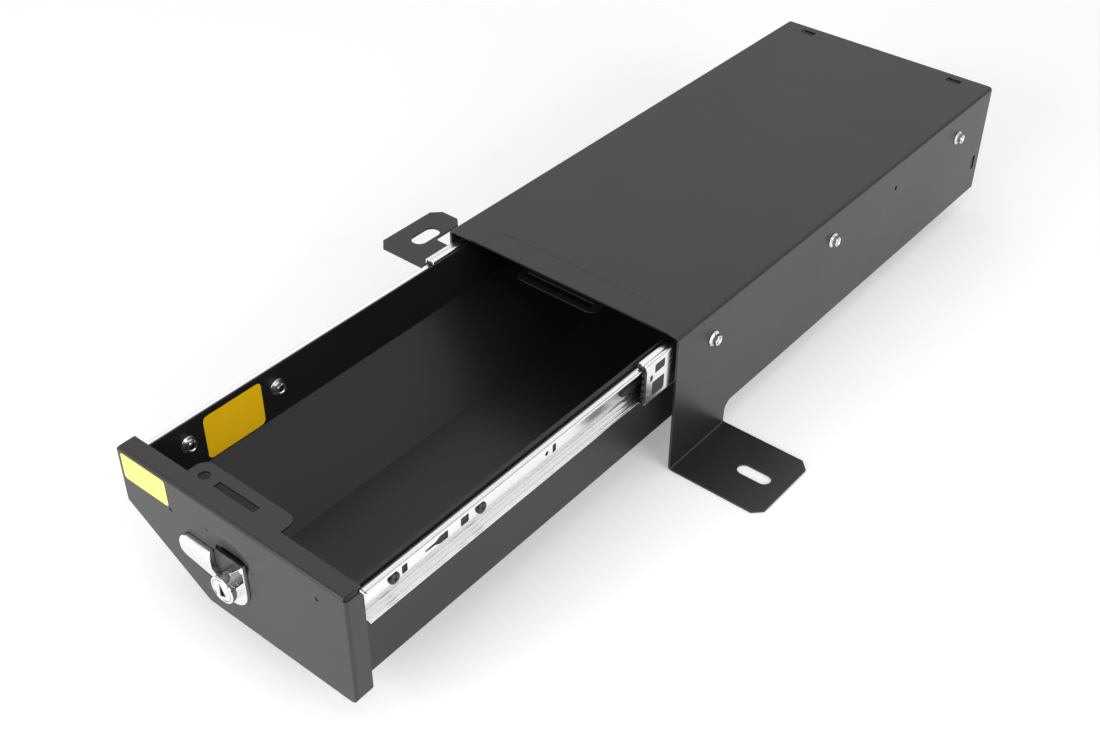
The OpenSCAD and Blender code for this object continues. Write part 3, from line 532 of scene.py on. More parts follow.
def moulded_plastic(name, colour):
    """Moulded plastic with a fine grain and a slow change of gloss."""
    material, tree, shader, coords = new_material(name)
    grain = noise(tree, coords, 1900, 3, 0.7)
    cloud = noise(tree, coords, 90, 3)
    dark = tuple(c * 0.8 for c in colour)
    light = tuple(c * 1.3 for c in colour)
    tree.links.new(tinted(tree, cloud, dark, light), shader.inputs["Base Color"])
    tree.links.new(spread(tree, cloud, 0.3, 0.7, 0.36, 0.5), shader.inputs["Roughness"])
    bumped(tree, shader, grain, 0.2, 0.00008)
    return material


def sticker_film(name, colour):
    """A blank film: even ink with a light paper tooth, ripples and a few scuffs."""
    material, tree, shader, coords = new_material(name)
    tooth = noise(tree, coords, 2600, 2)
    ripple = noise(tree, coords, 70, 2)
    scuff = spread(tree, noise(tree, mapped(tree, coords, (240, 240, 900)), 1, 3), 0.62, 0.75, 0, 1)
    tone = combine(tree, "ADD", combine(tree, "MULTIPLY", ripple, 0.7),
                   combine(tree, "MULTIPLY", tooth, 0.3))
    dark = tuple(c * 0.92 for c in colour)
    tree.links.new(tinted(tree, tone, dark, colour), shader.inputs["Base Color"])
    gloss = combine(tree, "ADD", spread(tree, ripple, 0.3, 0.7, 0.34, 0.42),
                    combine(tree, "MULTIPLY", scuff, 0.12))
    tree.links.new(gloss, shader.inputs["Roughness"])
    bumped(tree, shader, ripple, 0.08, 0.0002)
    return material


FINISHES = {}


def finishes():
    """The drawer's finishes, made once from the colours of its properties."""
    if not FINISHES:
        colours = bpy.context.scene.drawer_colours
        black = tuple(colours.coat)
        # A darker copy of the coat, painted shade for the shaded insides: the tray, its end walls, the rear
        # panel with its lips and the strike bracket take it
        inner = tuple(c * 0.6 for c in black)
        FINISHES.update(
            coat=powder_coat("satin black powder coat", black),
            coat_inner=powder_coat("satin black powder coat darkened as painted shade", inner, 0.4, 0.45),
            zinc=plated_steel("bright zinc strip", tuple(colours.zinc), 0.2),
            screw=plated_steel("zinc screw", tuple(c * 0.85 for c in colours.zinc), 0.3, (200, 200, 200)),
            nut=polished("bright nut plating", tuple(colours.chrome), 0.25),
            chrome=polished("polished chrome", tuple(colours.chrome), 0.07),
            ball=polished("bearing steel", tuple(colours.chrome), 0.06),
            dark_screw=plated_steel("dark screw", (0.07, 0.07, 0.075), 0.34, (300, 300, 300)),
            plastic=moulded_plastic("black moulded plastic", tuple(colours.plastic)),
            front_sticker=sticker_film("pale yellow film", tuple(colours.front_sticker)),
            tray_sticker=sticker_film("orange-yellow film", tuple(colours.tray_sticker)),
        )
    return FINISHES


# ---------------------------------------------------------------- properties

class DrawerSizes(bpy.types.PropertyGroup):
    """Sizes of the details that the visible pieces add to the frame."""
    sheet_edge: bpy.props.FloatProperty(
        name="Sheet edge", description="Rounding of the folded sheets' cut edges",
        default=0.0003, min=0.0001, max=0.0006, unit="LENGTH", precision=5)
    nut_flats: bpy.props.FloatProperty(
        name="Nut flats", description="Width across a nut's flats", default=0.008, min=0.006, max=0.009,
        unit="LENGTH", precision=4)
    floor_reach: bpy.props.FloatProperty(
        name="Floor", description="Half the side of the floor", default=6, min=2, max=20, unit="LENGTH")


class DrawerColours(bpy.types.PropertyGroup):
    """Colours of the drawer's finishes."""
    coat: bpy.props.FloatVectorProperty(
        name="Powder coat", description="Colour of the steel sheets' coat", subtype="COLOR",
        default=(0.014, 0.014, 0.0145), min=0, max=1)
    zinc: bpy.props.FloatVectorProperty(
        name="Zinc", description="Colour of the slides' plating", subtype="COLOR",
        default=(0.93, 0.93, 0.94), min=0, max=1)
    chrome: bpy.props.FloatVectorProperty(
        name="Chrome", description="Colour of the lock, the pull and the nuts", subtype="COLOR",
        default=(0.88, 0.88, 0.89), min=0, max=1)
    plastic: bpy.props.FloatVectorProperty(
        name="Plastic", description="Colour of the moulded parts", subtype="COLOR",
        default=(0.012, 0.012, 0.013), min=0, max=1)
    front_sticker: bpy.props.FloatVectorProperty(
        name="Front sticker", description="Colour of the sticker on the front panel", subtype="COLOR",
        default=(0.82, 0.79, 0.2), min=0, max=1)
    tray_sticker: bpy.props.FloatVectorProperty(
        name="Tray sticker", description="Colour of the sticker in the tray", subtype="COLOR",
        default=(0.98, 0.58, 0.004), min=0, max=1)
    floor: bpy.props.FloatVectorProperty(
        name="Floor", description="Colour of the floor", subtype="COLOR",
        default=(0.86, 0.86, 0.86), min=0, max=1)


class DrawerLight(bpy.types.PropertyGroup):
    """Strengths of the studio's lights."""
    front: bpy.props.FloatProperty(
        name="Front", description="Power of the front softbox", default=50, min=0, unit="POWER")
    right: bpy.props.FloatProperty(
        name="Right", description="Power of the right softbox", default=36, min=0, unit="POWER")
    overhead: bpy.props.FloatProperty(
        name="Overhead", description="Power of the overhead softbox", default=8, min=0, unit="POWER")
    world: bpy.props.FloatProperty(
        name="World", description="Strength of the light from all around", default=0.5, min=0, max=2)
    floor_glow: bpy.props.FloatProperty(
        name="Floor glow", description="Lift of the floor to the white of the backdrop",
        default=0.3, min=0, max=1)


# ---------------------------------------------------------------- pieces

def dressed(node, body, material, edge=None, segments=2):
    """A rounded copy of a frame node that stands for it."""
    piece = traced("shown_" + node, node)
    soften(piece, edge or bpy.context.scene.drawer_sizes.sheet_edge, segments)
    finish(piece, body, [node], material)


def soften_strip(shell):
    """Slopes and rounds the walls of the strip that is pressed into the housing's front edge."""
    low, high = at_housing(33.9, -0.1, 0), at_housing(189.1, 24.1, 0)
    centre = ((low.x + high.x) / 2, HOUSING_FRONT, HOUSING_TOP)
    depth, margin = 0.6 * MM, 5 * MM

    def on_strip(vert, height):
        return (low.x < vert.co.x < high.x and low.y < vert.co.y < high.y
                and abs(vert.co.z - height) < 0.05 * MM)

    def on_step(edge):
        place = edge.verts[0].co
        bottom, top = sorted(vert.co.z for vert in edge.verts)
        return (abs(top - bottom - depth) < 0.02 * MM and top > HOUSING_TOP - 0.01 * MM
                and low.x - margin < place.x < high.x + margin and place.y < high.y + margin)

    open_mesh(shell, "VERT")
    pick(shell, "VERT", lambda vert: on_strip(vert, HOUSING_TOP))
    bpy.ops.transform.resize(value=(1.02, 1.06, 1), center_override=centre)
    pick(shell, "VERT", lambda vert: on_strip(vert, HOUSING_TOP - depth))
    bpy.ops.transform.resize(value=(0.98, 0.94, 1), center_override=centre)
    pick(shell, "EDGE", on_step)
    bpy.ops.mesh.subdivide(number_cuts=2)
    close_mesh()


class DRAWER_OT_housing(bpy.types.Operator):
    """Folds the housing's shell, with its two feet and the pressed strip along its front edge"""
    bl_idname = "drawer.housing"
    bl_label = "Housing"

    def execute(self, context):
        looks = finishes()
        edge = context.scene.drawer_sizes.sheet_edge
        shell = traced("shell", "housing_shell")
        for x in TAB_XS:
            cut(shell, block("slot", at_top_tab(x - 7.4, -2.2, -3), at_top_tab(x + 6.4, 5.2, 1)))
        cut(shell, block("slot", at_side_tab(-3, -1.6, 25.6), at_side_tab(1, 4.6, 39.4)))
        soften_strip(shell)
        soften(shell, edge)
        finish(shell, "housing", ["housing_shell"], looks["coat"])

        plate = traced("rear_plate", "rear_panel")
        lips = [block("lip", at_top_tab(x - 9, 0, -5.4), at_top_tab(x + 8, 8.4, -3.4)) for x in TAB_XS]
        lips.append(block("lip", at_side_tab(-5.4, 0, 24), at_side_tab(-3.4, 8.4, 41)))
        plate = weld([plate, *lips])
        soften(plate, edge)
        # The rear panel and the strike bracket take the darker copy of the coat, painted shade for the
        # housing's inside
        finish(plate, "housing", ["rear_panel"], looks["coat_inner"])
        dressed("strike_bracket", "housing", looks["coat_inner"])
        return {"FINISHED"}


class DRAWER_OT_tray(bpy.types.Operator):
    """Folds the drawer's tray and its two end walls"""
    bl_idname = "drawer.tray"
    bl_label = "Tray"

    def execute(self, context):
        looks = finishes()
        # The tray and its end walls take the darker copy of the coat, painted shade for the tray's inside
        for node in ("drawer_tray", "drawer_front_wall", "drawer_back"):
            dressed(node, "drawer", looks["coat_inner"])
        return {"FINISHED"}


def framed_panel(low, high):
    """The front panel with a window for the scoop's sheet, and every other sharp edge rounded."""
    panel = traced("panel", "front_panel")
    cut(panel, block("window", low - Vector((0, 2 * MM, 0)), high + Vector((0, 8 * MM, 0))))
    near = 0.01 * MM

    def on_window(vert):
        return (low.x - near < vert.co.x < high.x + near and low.z - near < vert.co.z < high.z + near
                and vert.co.y < PANEL_BACK + 0.1 * MM)

    open_mesh(panel, "EDGE")
    pick(panel, "EDGE", lambda edge: edge.calc_face_angle(0) > math.radians(28)
         and not all(on_window(vert) for vert in edge.verts))
    bpy.ops.mesh.bevel(offset=0.3 * MM, segments=3, affect="EDGES", clamp_overlap=True, miter_outer="ARC")
    close_mesh()
    return panel


def pressed_scoop(low, high):
    """The sheet in the window: a slit, a lip over it that is pressed in to a round dish, and a dimple."""
    slit_low, slit_high = at_drawer(97, 0, 69.5), at_drawer(125.5, 0, 72)
    lip, lip_half, lip_depth, dish = at_drawer(111.2, 0, 72), 6.1 * MM, 2.6 * MM, 17.5 * MM
    dimple, dimple_radius, dimple_depth = at_drawer(91.7, 0, 83), 1.4 * MM, 0.5 * MM

    def in_slit(face):
        centre = face.calc_center_median()
        return slit_low.x < centre.x < slit_high.x and slit_low.z < centre.z < slit_high.z

    def on_lip(vert):
        return abs(vert.co.x - lip.x) < lip_half and abs(vert.co.z - lip.z) < 0.1 * MM

    def in_dimple(vert):
        return (Vector((vert.co.x, 0, vert.co.z)) - Vector((dimple.x, 0, dimple.z))).length < dimple_radius

    put_down()
    bpy.ops.mesh.primitive_grid_add(
        x_subdivisions=96, y_subdivisions=72, size=1, location=(low + high) / 2, rotation=(math.pi / 2, 0, 0))
    scoop = bpy.context.object
    scoop.scale = (high.x - low.x, high.z - low.z, 1)
    settle(scoop)
    scoop.name = scoop.data.name = "scoop"
    open_mesh(scoop)
    pick(scoop, "FACE", in_slit)
    bpy.ops.mesh.delete(type="FACE")
    pick(scoop, "VERT", on_lip)
    bpy.ops.transform.translate(
        value=(0, lip_depth, 0), use_proportional_edit=True, proportional_edit_falloff="SMOOTH",
        proportional_size=dish, use_proportional_connected=True)
    pick(scoop, "VERT", in_dimple)
    bpy.ops.transform.translate(value=(0, dimple_depth, 0))
    close_mesh()
    apply_modifier(scoop, "SOLIDIFY", thickness=SHEET, offset=-1, use_even_offset=True)
    recalculate(scoop)
    return scoop


class DRAWER_OT_front(bpy.types.Operator):
    """Folds the front panel and presses its finger scoop and dimples"""
    bl_idname = "drawer.front"
    bl_label = "Front panel"

    def execute(self, context):
        low, high = at_drawer(87, 0, 64), at_drawer(135, 0, 100)
        panel = framed_panel(low, high)
        scoop = pressed_scoop(low, high)
        back = block("back", at_drawer(95, 6, 66), at_drawer(127.5, 7.2, 74))
        base = block("base", at_drawer(95, 2, 65.5), at_drawer(127.5, 7.2, 66.7))
        panel = weld([panel, scoop, back, base])
        smooth(panel)
        finish(panel, "drawer", ["front_panel"], finishes()["coat"])
        return {"FINISHED"}


def ball_race(out, height, deep, half):
    """Points of a shallow groove that is pressed inwards along a flange."""
    steps = ((-1, 0), (-0.6, 0.55), (-0.2, 1), (0.2, 1), (0.6, 0.55), (1, 0))
    return [(out + half * across, height - deep * down) for across, down in steps]


def whole(upper):
    """A member's section, from its half above the centre line."""
    return [*upper, *[(out, -height) for out, height in reversed(upper)]]


def member(name, node, side, section):
    """A slide member: its section's middle line, as (out, height), swept over the length of its node."""
    low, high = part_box(node)
    line = [from_wall(side, out, low.y, height) for out, height in section]
    return sheet_along(name, line, Vector((0, high.y - low.y, 0)), STRIP)


def rounded_box(length, height, corner):
    """Points round a flat box with arcs at its corners, from the middle of its lower side."""
    x, z = length / 2, height / 2
    ring = [(0, -z), (x, -z), (x, z), (-x, z), (-x, -z), (0, -z)]
    return eased(ring, [0, corner, corner, corner, corner, 0])[:-1]


def through(piece, side, y, z, shape, out=(4, 14)):
    """Cuts a hole through a web: a radius, a box as (length, height, corner), or a list of points."""
    near, far = out
    reach = from_wall(side, far, 0, 0) - from_wall(side, near, 0, 0)
    if isinstance(shape, (int, float)):
        bore = [(0, 0), (shape * MM, 0), (shape * MM, reach.length), (0, reach.length)]
        tool = turned("hole", from_wall(side, near, y, z), reach, bore, 32)
    else:
        outline = rounded_box(*shape) if isinstance(shape, tuple) else shape
        tool = drawn("hole", [from_wall(side, near, y + a * MM, z + b) for a, b in outline], reach)
    cut(piece, tool)


def middle_member(side):
    """The middle member, with the windows at its front end."""
    node = "slide_mid_" + side
    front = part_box(node)[0].y
    web, lip, half, bend = 3.0, 10.4, 17.75, 1.1
    section = whole([(lip, 14.6), (lip, half), *reversed(ball_race(5.9, half, 0.4, 1.4)), (web, half)])
    radii = [bend if out in (web, lip) and abs(height) == half else 0 for out, height in section]
    piece = member("middle_member_" + side, node, side, eased(section, radii))
    for y, z, shape in MIDDLE_WINDOWS:
        through(piece, side, front + y * MM, z, shape, (1, 5))
    soften(piece, 0.18 * MM)
    return piece


def end_plastic(side):
    """The plastic in the windows of the middle member and along its front edge."""
    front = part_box("slide_mid_" + side)[0].y
    pieces = [traced("bumpers", "slide_bumpers_" + side)]
    for out, along, up in PLASTIC_SLABS:
        first, last = (from_wall(side, out[end], front + along[end] * MM, up[end]) for end in (0, 1))
        low = Vector(min(pair) for pair in zip(first, last))
        pieces.append(block("slab", low, Vector(max(pair) for pair in zip(first, last))))
    piece = weld(pieces)
    soften(piece, 0.2 * MM)
    return piece


def inner_channel(side):
    """The drawer's member: a channel with a ball race along each flange and holes in its web."""
    node = "slide_inner_" + side
    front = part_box(node)[0].y
    web, lip, half, bend = 12.1, 5.0, 13.25, 1.7
    section = whole([(lip, half), *ball_race(7.3, half, 0.6, 1.5), (web, half)])
    radii = [bend if out == web else 0 for out, _ in section]
    piece = member("inner_member_" + side, node, side, eased(section, radii))
    for y, shape in DRAWER_WEB_HOLES:
        through(piece, side, front + y * MM, 0, shape)
    soften(piece, 0.18 * MM)
    return piece


class DRAWER_OT_slides(bpy.types.Operator):
    """Makes the members, cages, balls, bumpers and levers of both slides"""
    bl_idname = "drawer.slides"
    bl_label = "Slides"

    def execute(self, context):
        looks = finishes()
        for side in ("left", "right"):
            dressed("slide_outer_" + side, "housing", looks["zinc"], 0.2 * MM)
            mid = "mid_" + side
            finish(middle_member(side), mid, ["slide_mid_" + side], looks["zinc"])
            finish(inner_channel(side), "drawer", ["slide_inner_" + side], looks["zinc"])
            finish(end_plastic(side), mid, ["slide_bumpers_" + side], looks["plastic"])
            dressed("release_lever_" + side, "lever_" + side, looks["plastic"], 0.4 * MM, 3)
            for place in ("outer_", "inner_"):
                paint(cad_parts["cage_" + place + side], looks["zinc"])
                paint(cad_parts["balls_" + place + side], looks["ball"])
        dressed("lever_rivets", "drawer", looks["screw"], 0.1 * MM)
        return {"FINISHED"}


def flange_nut(flats):
    """A hex nut on a conical flange, standing on the origin along x, with a chamfered top."""
    foot = 0.3
    hexagon = []
    for turn in range(6):
        angle = math.radians(60 * turn + 30)
        hexagon.append(Vector((foot * MM, math.cos(angle), math.sin(angle))))
    corner = flats / 2 / math.cos(math.radians(30))
    hexagon = [Vector((point.x, point.y * corner, point.z * corner)) for point in hexagon]
    nut = drawn("nut", hexagon, RIGHTWARDS * (NUT_TOP * MM - foot * MM))
    dome = [(0, 0), (4.9, 0), (4.9, 4.5), (4.0, 5.35), (0, 5.35)]
    cut(nut, turned("dome", ORIGIN, RIGHTWARDS, in_mm(dome)), "INTERSECT")
    flange = [(0, 0), (6.2, 0), (6.35, 0.2), (6.35, 0.75), (6.15, 1.0), (4.5, 1.75), (0, 1.75)]
    cut(nut, turned("flange", ORIGIN, RIGHTWARDS, in_mm(flange)), "UNION")
    bore = [(0, -1), (2.6, -1), (2.6, 4.6), (3.3, 5.4), (0, 5.4)]
    cut(nut, turned("bore", ORIGIN, RIGHTWARDS, in_mm(bore)))
    soften(nut, 0.12 * MM)
    return nut


def bolt_end():
    """The threaded end of a bolt along x, inside its nut, with a chamfered tip."""
    root, crest, pitch = 2.18, 2.48, 0.8
    outline = [(0, 0)]
    height = 0
    while height < 4.0:
        outline += [(root, height), (crest, height + 0.35), (crest, height + 0.45)]
        height += pitch
    outline += [(2.3, 4.3), (1.8, 4.7), (0, 4.7)]
    return turned("bolt_end", ORIGIN, RIGHTWARDS, in_mm(outline), 40)


def pan_head():
    """A pan head with a cross recess along x, its seat at the origin and its top towards -x."""
    outline = [(0, 0.02), (4.45, 0.02), (4.5, -0.3), (4.42, -1.0), (4.1, -1.6), (3.5, -2.0), (2.6, -2.17),
               (0, -2.2)]
    head = turned("pan_head", ORIGIN, RIGHTWARDS, in_mm(outline))
    arm = [(-2.5, -0.5), (2.5, -0.5), (2.5, 0.5), (-2.5, 0.5)]
    for corners in (arm, [(b, a) for a, b in arm]):
        slot = drawn("slot", [Vector((-3 * MM, a * MM, b * MM)) for a, b in corners], Vector((2 * MM, 0, 0)))
        open_mesh(slot)
        pick(slot, "FACE", lambda face: face.calc_center_median().x > -1.01 * MM)
        bpy.ops.transform.resize(value=(1, 0.5, 0.5), center_override=(-1 * MM, 0, 0))
        close_mesh()
        cut(head, slot)
    soften(head, 0.12 * MM, 2, 40)
    return head


def facing(side, place, turn):
    """A matrix that stands a piece made along x on a wall: turned about x, then out to this side."""
    flip = Matrix.Rotation(math.pi if side == "left" else 0, 4, "Z")
    return Matrix.Translation(place) @ flip @ Matrix.Rotation(math.radians(turn), 4, "X")


class DRAWER_OT_fasteners(bpy.types.Operator):
    """Turns the slides' screws and their flange nuts"""
    bl_idname = "drawer.fasteners"
    bl_label = "Screws and nuts"

    def execute(self, context):
        looks = finishes()
        flats = context.scene.drawer_sizes.nut_flats
        housing_ys = [HOUSING_FRONT + y * MM for y in HOUSING_SCREW_YS]
        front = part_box("slide_inner_left")[0].y
        drawer_ys = [front + y * MM for y in DRAWER_SCREW_YS]
        outside, inside = [], []
        for i, y in enumerate(housing_ys):
            outside.append(facing("right", Vector((RIGHT_WALL, y, CENTRE_LINE)), 12 + 23 * i))
            outside.append(facing("left", Vector((LEFT_WALL, y, CENTRE_LINE)), 5 + 31 * i))
        for i, y in enumerate(drawer_ys):
            inside.append(facing("right", from_wall("left", NUT_SEAT, y, 0), 20 + 27 * i))
            inside.append(facing("left", from_wall("right", NUT_SEAT, y, 0), 8 + 19 * i))
        finish(copies(flange_nut(flats), outside), "housing", ["housing_nuts"], looks["nut"])
        finish(copies(flange_nut(flats), inside), "drawer", ["drawer_nuts"], looks["nut"])

        heads = traced("screw_heads", "housing_screws")
        reach = Vector((20 * MM, 1, 1))
        for corner in (Vector((LEFT_WALL - 20 * MM, -0.5, -0.5)), Vector((RIGHT_WALL, -0.5, -0.5))):
            cut(heads, block("beyond", corner, corner + reach))
        soften(heads, 0.1 * MM)
        ends = copies(bolt_end(), outside)
        smooth(ends)
        finish(weld([heads, ends]), "housing", ["housing_screws"], looks["screw"])

        screws = []
        for i, y in enumerate(drawer_ys):
            screws.append(facing("right", from_wall("left", HEAD_SEAT, y, 0), 40 + 35 * i))
            screws.append(facing("left", from_wall("right", HEAD_SEAT, y, 0), 15 + 50 * i))
        shank = turned("shank", ORIGIN, RIGHTWARDS, in_mm([(0, 0), (2.5, 0), (2.5, 3.3), (0, 3.3)]))
        shanks = copies(shank, screws)
        smooth(shanks)
        tips = copies(bolt_end(), inside)
        smooth(tips)
        bolts = weld([copies(pan_head(), screws), shanks, tips])
        finish(bolts, "drawer", ["drawer_screws"], looks["dark_screw"])
        return {"FINISHED"}


class DRAWER_OT_pull(bpy.types.Operator):
    """Forms the bowed finger pull around the lock"""
    bl_idname = "drawer.pull"
    bl_label = "Finger pull"

    def execute(self, context):
        dressed("finger_pull", "drawer", finishes()["chrome"], 0.55 * MM, 4)
        return {"FINISHED"}


class DRAWER_OT_lock(bpy.types.Operator):
    """Turns the lock's body and plug, and rounds copies of its nut, cam and cam screw"""
    bl_idname = "drawer.lock"
    bl_label = "Lock"

    def execute(self, context):
        looks = finishes()
        body = [(6.15, -15.5), (6.15, 8.75), (8.72, 8.75), (8.72, 9.75), (8.95, 10.0), (9.75, 10.0),
                (10.1, 9.93), (10.35, 9.72), (10.47, 9.4), (10.5, 9.0), (10.5, 3.1), (9.3, 3.1), (9.3, -15.5),
                (6.15, -15.5)]
        cylinder = turned("lock_cylinder", LOCK, FRONTWARDS, in_mm(body), 96)
        soften(cylinder, 0.08 * MM, 2, 50)
        finish(cylinder, "drawer", ["lock_body"], looks["chrome"])

        plug = [(0, -16.4), (6.0, -16.4), (6.0, 8.9), (8.3, 8.9), (8.3, 9.75), (8.1, 9.95), (7.9, 10.0),
                (0, 10.0)]
        face = turned("plug_face", LOCK, FRONTWARDS, in_mm(plug), 96)
        key = [at_lock(x, -11, z) for x, z in ((-2.2, -6.4), (3.6, -3.6), (-1.3, 5.6))]
        cut(face, drawn("keyway", key, Vector((0, 7 * MM, 0))))
        soften(face, 0.1 * MM, 2, 50)
        wafer = [at_lock(x, -5.6, z) for x, z in ((-1.6, -4.8), (1.2, -3.4), (-1.0, 3.4))]
        wafers = drawn("wafers", wafer, Vector((0, 2 * MM, 0)))
        soften(wafers, 0.15 * MM)
        drive = block("drive", at_lock(-3, 16, -3), at_lock(3, 19.6, 3))
        face = weld([face, wafers, drive])
        finish(face, "lock_rotor", ["lock_plug"], looks["chrome"])
        dressed("lock_nut", "drawer", looks["screw"], 0.4 * MM)
        dressed("lock_cam", "lock_rotor", looks["screw"], 0.3 * MM)
        dressed("cam_screw", "lock_rotor", looks["screw"], 0.2 * MM)
        return {"FINISHED"}


class DRAWER_OT_stickers(bpy.types.Operator):
    """Cuts the two blank stickers"""
    bl_idname = "drawer.stickers"
    bl_label = "Stickers"

    def execute(self, context):
        looks = finishes()
        dressed("front_label", "drawer", looks["front_sticker"], 0.06 * MM)
        dressed("tray_label", "drawer", looks["tray_sticker"], 0.06 * MM)
        return {"FINISHED"}


def by_sight(tree):
    """1 for what is seen straight on, in a mirror or through glass, and 0 for light on a surface."""
    rays = tree.nodes.new("ShaderNodeLightPath")
    seen = combine(tree, "MAXIMUM", rays.outputs["Is Camera Ray"], rays.outputs["Is Glossy Ray"])
    return combine(tree, "MAXIMUM", seen, rays.outputs["Is Transmission Ray"])


def lamp(name, place, target, size, watts):
    """Hangs a softbox at a place and aims it at a target."""
    data = bpy.data.lights.new(name, "AREA")
    data.shape = "RECTANGLE"
    data.size, data.size_y = size
    data.energy = watts
    light = bpy.data.objects.new(name, data)
    bpy.context.scene.collection.objects.link(light)
    light.location = place
    light.rotation_euler = (Vector(target) - Vector(place)).to_track_quat("-Z", "Y").to_euler()


def lay_floor(scene):
    """Lays the pale floor just under the drawer's lowest point."""
    reach = scene.drawer_sizes.floor_reach
    put_down()
    bpy.ops.mesh.primitive_grid_add(x_subdivisions=8, y_subdivisions=8, size=2 * reach,
                                    location=(0, 0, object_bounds()[0].z - 0.0002))
    floor = settle(bpy.context.object)
    floor.name = "floor"
    material, tree, shader, coords = new_material("pale floor")
    shader.inputs["Roughness"].default_value = 0.9
    shader.inputs["Specular IOR Level"].default_value = 0.1
    colour = tuple(scene.drawer_colours.floor)
    cloud = noise(tree, coords, 3, 2)
    tree.links.new(tinted(tree, cloud, tuple(c * 0.985 for c in colour), colour), shader.inputs["Base Color"])
    shader.inputs["Emission Color"].default_value = (1, 1, 1, 1)
    glow = combine(tree, "MULTIPLY", by_sight(tree), scene.drawer_light.floor_glow)
    tree.links.new(glow, shader.inputs["Emission Strength"])
    floor.data.materials.append(material)
    floor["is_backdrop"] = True


def light_world(scene):
    """A white backdrop, with darker walls, ceiling and one side in what the plating mirrors."""
    world = bpy.data.worlds.new("studio")
    scene.world = world
    world.use_nodes = True
    sky = world.node_tree
    background = sky.nodes["Background"]
    way = sky.nodes.new("ShaderNodeTexCoord")
    height = sky.nodes.new("ShaderNodeSeparateXYZ")
    sky.links.new(way.outputs["Generated"], height.inputs["Vector"])
    walls = spread(sky, height.outputs["Z"], 0.16, 0.5, 0.22, 1)
    ceiling = spread(sky, height.outputs["Z"], 0.7, 0.95, 1, 0.35)
    towards = sky.nodes.new("ShaderNodeVectorMath")
    towards.operation = "DOT_PRODUCT"
    towards.inputs[1].default_value = (0.75, -0.62, 0.2)
    sky.links.new(way.outputs["Generated"], towards.inputs[0])
    dim = spread(sky, towards.outputs["Value"], 0.55, 0.85, 1, 0.2)
    room = combine(sky, "MULTIPLY", combine(sky, "MULTIPLY", walls, ceiling), dim)
    rays = sky.nodes.new("ShaderNodeLightPath")
    plain = combine(sky, "MAXIMUM", rays.outputs["Is Camera Ray"], rays.outputs["Is Transmission Ray"])
    mirrored = combine(sky, "MULTIPLY", rays.outputs["Is Glossy Ray"], room)
    seen = combine(sky, "MAXIMUM", plain, mirrored)
    background.inputs["Color"].default_value = (1, 1, 1, 1)
    unseen = combine(sky, "MULTIPLY", combine(sky, "SUBTRACT", 1, by_sight(sky)), scene.drawer_light.world)
    sky.links.new(combine(sky, "ADD", seen, unseen), background.inputs["Strength"])


def set_camera(scene):
    """Sets the camera where the photograph was taken from."""
    camera = bpy.data.cameras.new("camera")
    camera.sensor_width = 36
    camera.lens = CAMERA_LENS
    camera.shift_x, camera.shift_y = CAMERA_SHIFT
    camera.clip_start = 0.01
    eye = bpy.data.objects.new("camera", camera)
    scene.collection.objects.link(eye)
    turn, tilt, roll = (math.radians(angle) for angle in CAMERA_ANGLES)
    ahead = Vector((-math.sin(turn) * math.cos(tilt), math.cos(turn) * math.cos(tilt), -math.sin(tilt)))
    level = Vector((math.cos(turn), math.sin(turn), 0))
    upright = level.cross(ahead)
    right = level * math.cos(roll) + upright * math.sin(roll)
    up = upright * math.cos(roll) - level * math.sin(roll)
    pose = Matrix((right, up, -ahead)).transposed().to_4x4()
    pose.translation = CAMERA_PLACE
    eye.matrix_world = pose
    scene.camera = eye


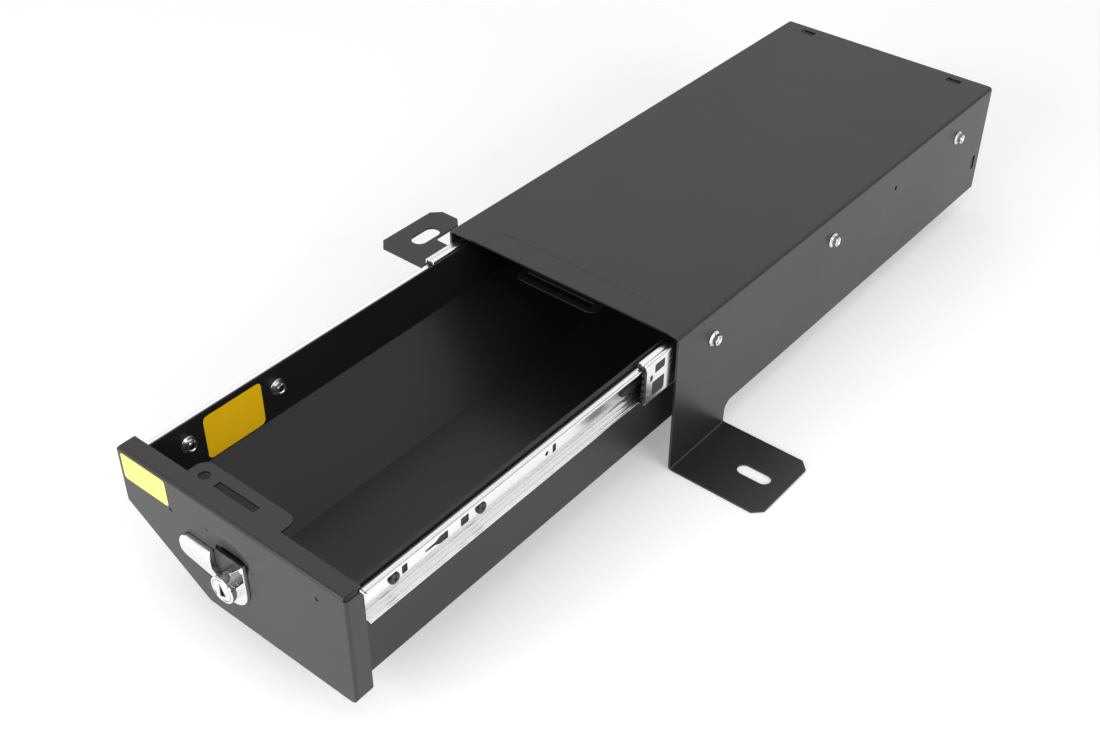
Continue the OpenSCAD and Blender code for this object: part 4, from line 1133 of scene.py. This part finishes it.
class DRAWER_OT_stage(bpy.types.Operator):
    """Sets the floor, the lights, the world and the camera"""
    bl_idname = "drawer.stage"
    bl_label = "Stage"

    def execute(self, context):
        scene = context.scene
        power = scene.drawer_light
        lay_floor(scene)
        light_world(scene)
        lamp("front softbox", (-0.5, -2.6, 0.95), (0, -0.1, 0), (1.7, 1.5), power.front)
        lamp("right softbox", (2.5, -0.4, 1.2), (0, 0, 0), (1.6, 1.4), power.right)
        lamp("overhead softbox", (-0.3, 0.5, 2.6), (0, 0, 0), (2.2, 2.2), power.overhead)
        set_camera(scene)
        scene.view_settings.view_transform = "Standard"
        return {"FINISHED"}


OPERATORS = (
    DRAWER_OT_housing,
    DRAWER_OT_tray,
    DRAWER_OT_front,
    DRAWER_OT_slides,
    DRAWER_OT_fasteners,
    DRAWER_OT_pull,
    DRAWER_OT_lock,
    DRAWER_OT_stickers,
    DRAWER_OT_stage,
)


class DRAWER_PT_panel(bpy.types.Panel):
    """Lists the drawer's sizes, colours and pieces"""
    bl_idname = "DRAWER_PT_panel"
    bl_label = "Security drawer"
    bl_space_type = "VIEW_3D"
    bl_region_type = "UI"
    bl_category = "Drawer"

    def draw(self, context):
        for group in (context.scene.drawer_sizes, context.scene.drawer_colours, context.scene.drawer_light):
            for name in group.bl_rna.properties.keys():
                if name not in ("rna_type", "name"):
                    self.layout.prop(group, name)
        for operator in OPERATORS:
            self.layout.operator(operator.bl_idname)


CLASSES = (DrawerSizes, DrawerColours, DrawerLight, *OPERATORS, DRAWER_PT_panel)


def register():
    """Registers the classes and gives the scene its groups of properties."""
    for item in CLASSES:
        bpy.utils.register_class(item)
    bpy.types.Scene.drawer_sizes = bpy.props.PointerProperty(type=DrawerSizes)
    bpy.types.Scene.drawer_colours = bpy.props.PointerProperty(type=DrawerColours)
    bpy.types.Scene.drawer_light = bpy.props.PointerProperty(type=DrawerLight)


def unregister():
    """Takes all of it back."""
    del bpy.types.Scene.drawer_light
    del bpy.types.Scene.drawer_colours
    del bpy.types.Scene.drawer_sizes
    for item in reversed(CLASSES):
        bpy.utils.unregister_class(item)


def main():
    """Builds every piece and the stage."""
    register()
    bpy.ops.drawer.housing()
    bpy.ops.drawer.tray()
    bpy.ops.drawer.front()
    bpy.ops.drawer.slides()
    bpy.ops.drawer.fasteners()
    bpy.ops.drawer.pull()
    bpy.ops.drawer.lock()
    bpy.ops.drawer.stickers()
    bpy.ops.drawer.stage()
    put_down()


if __name__ == "__main__":
    main()
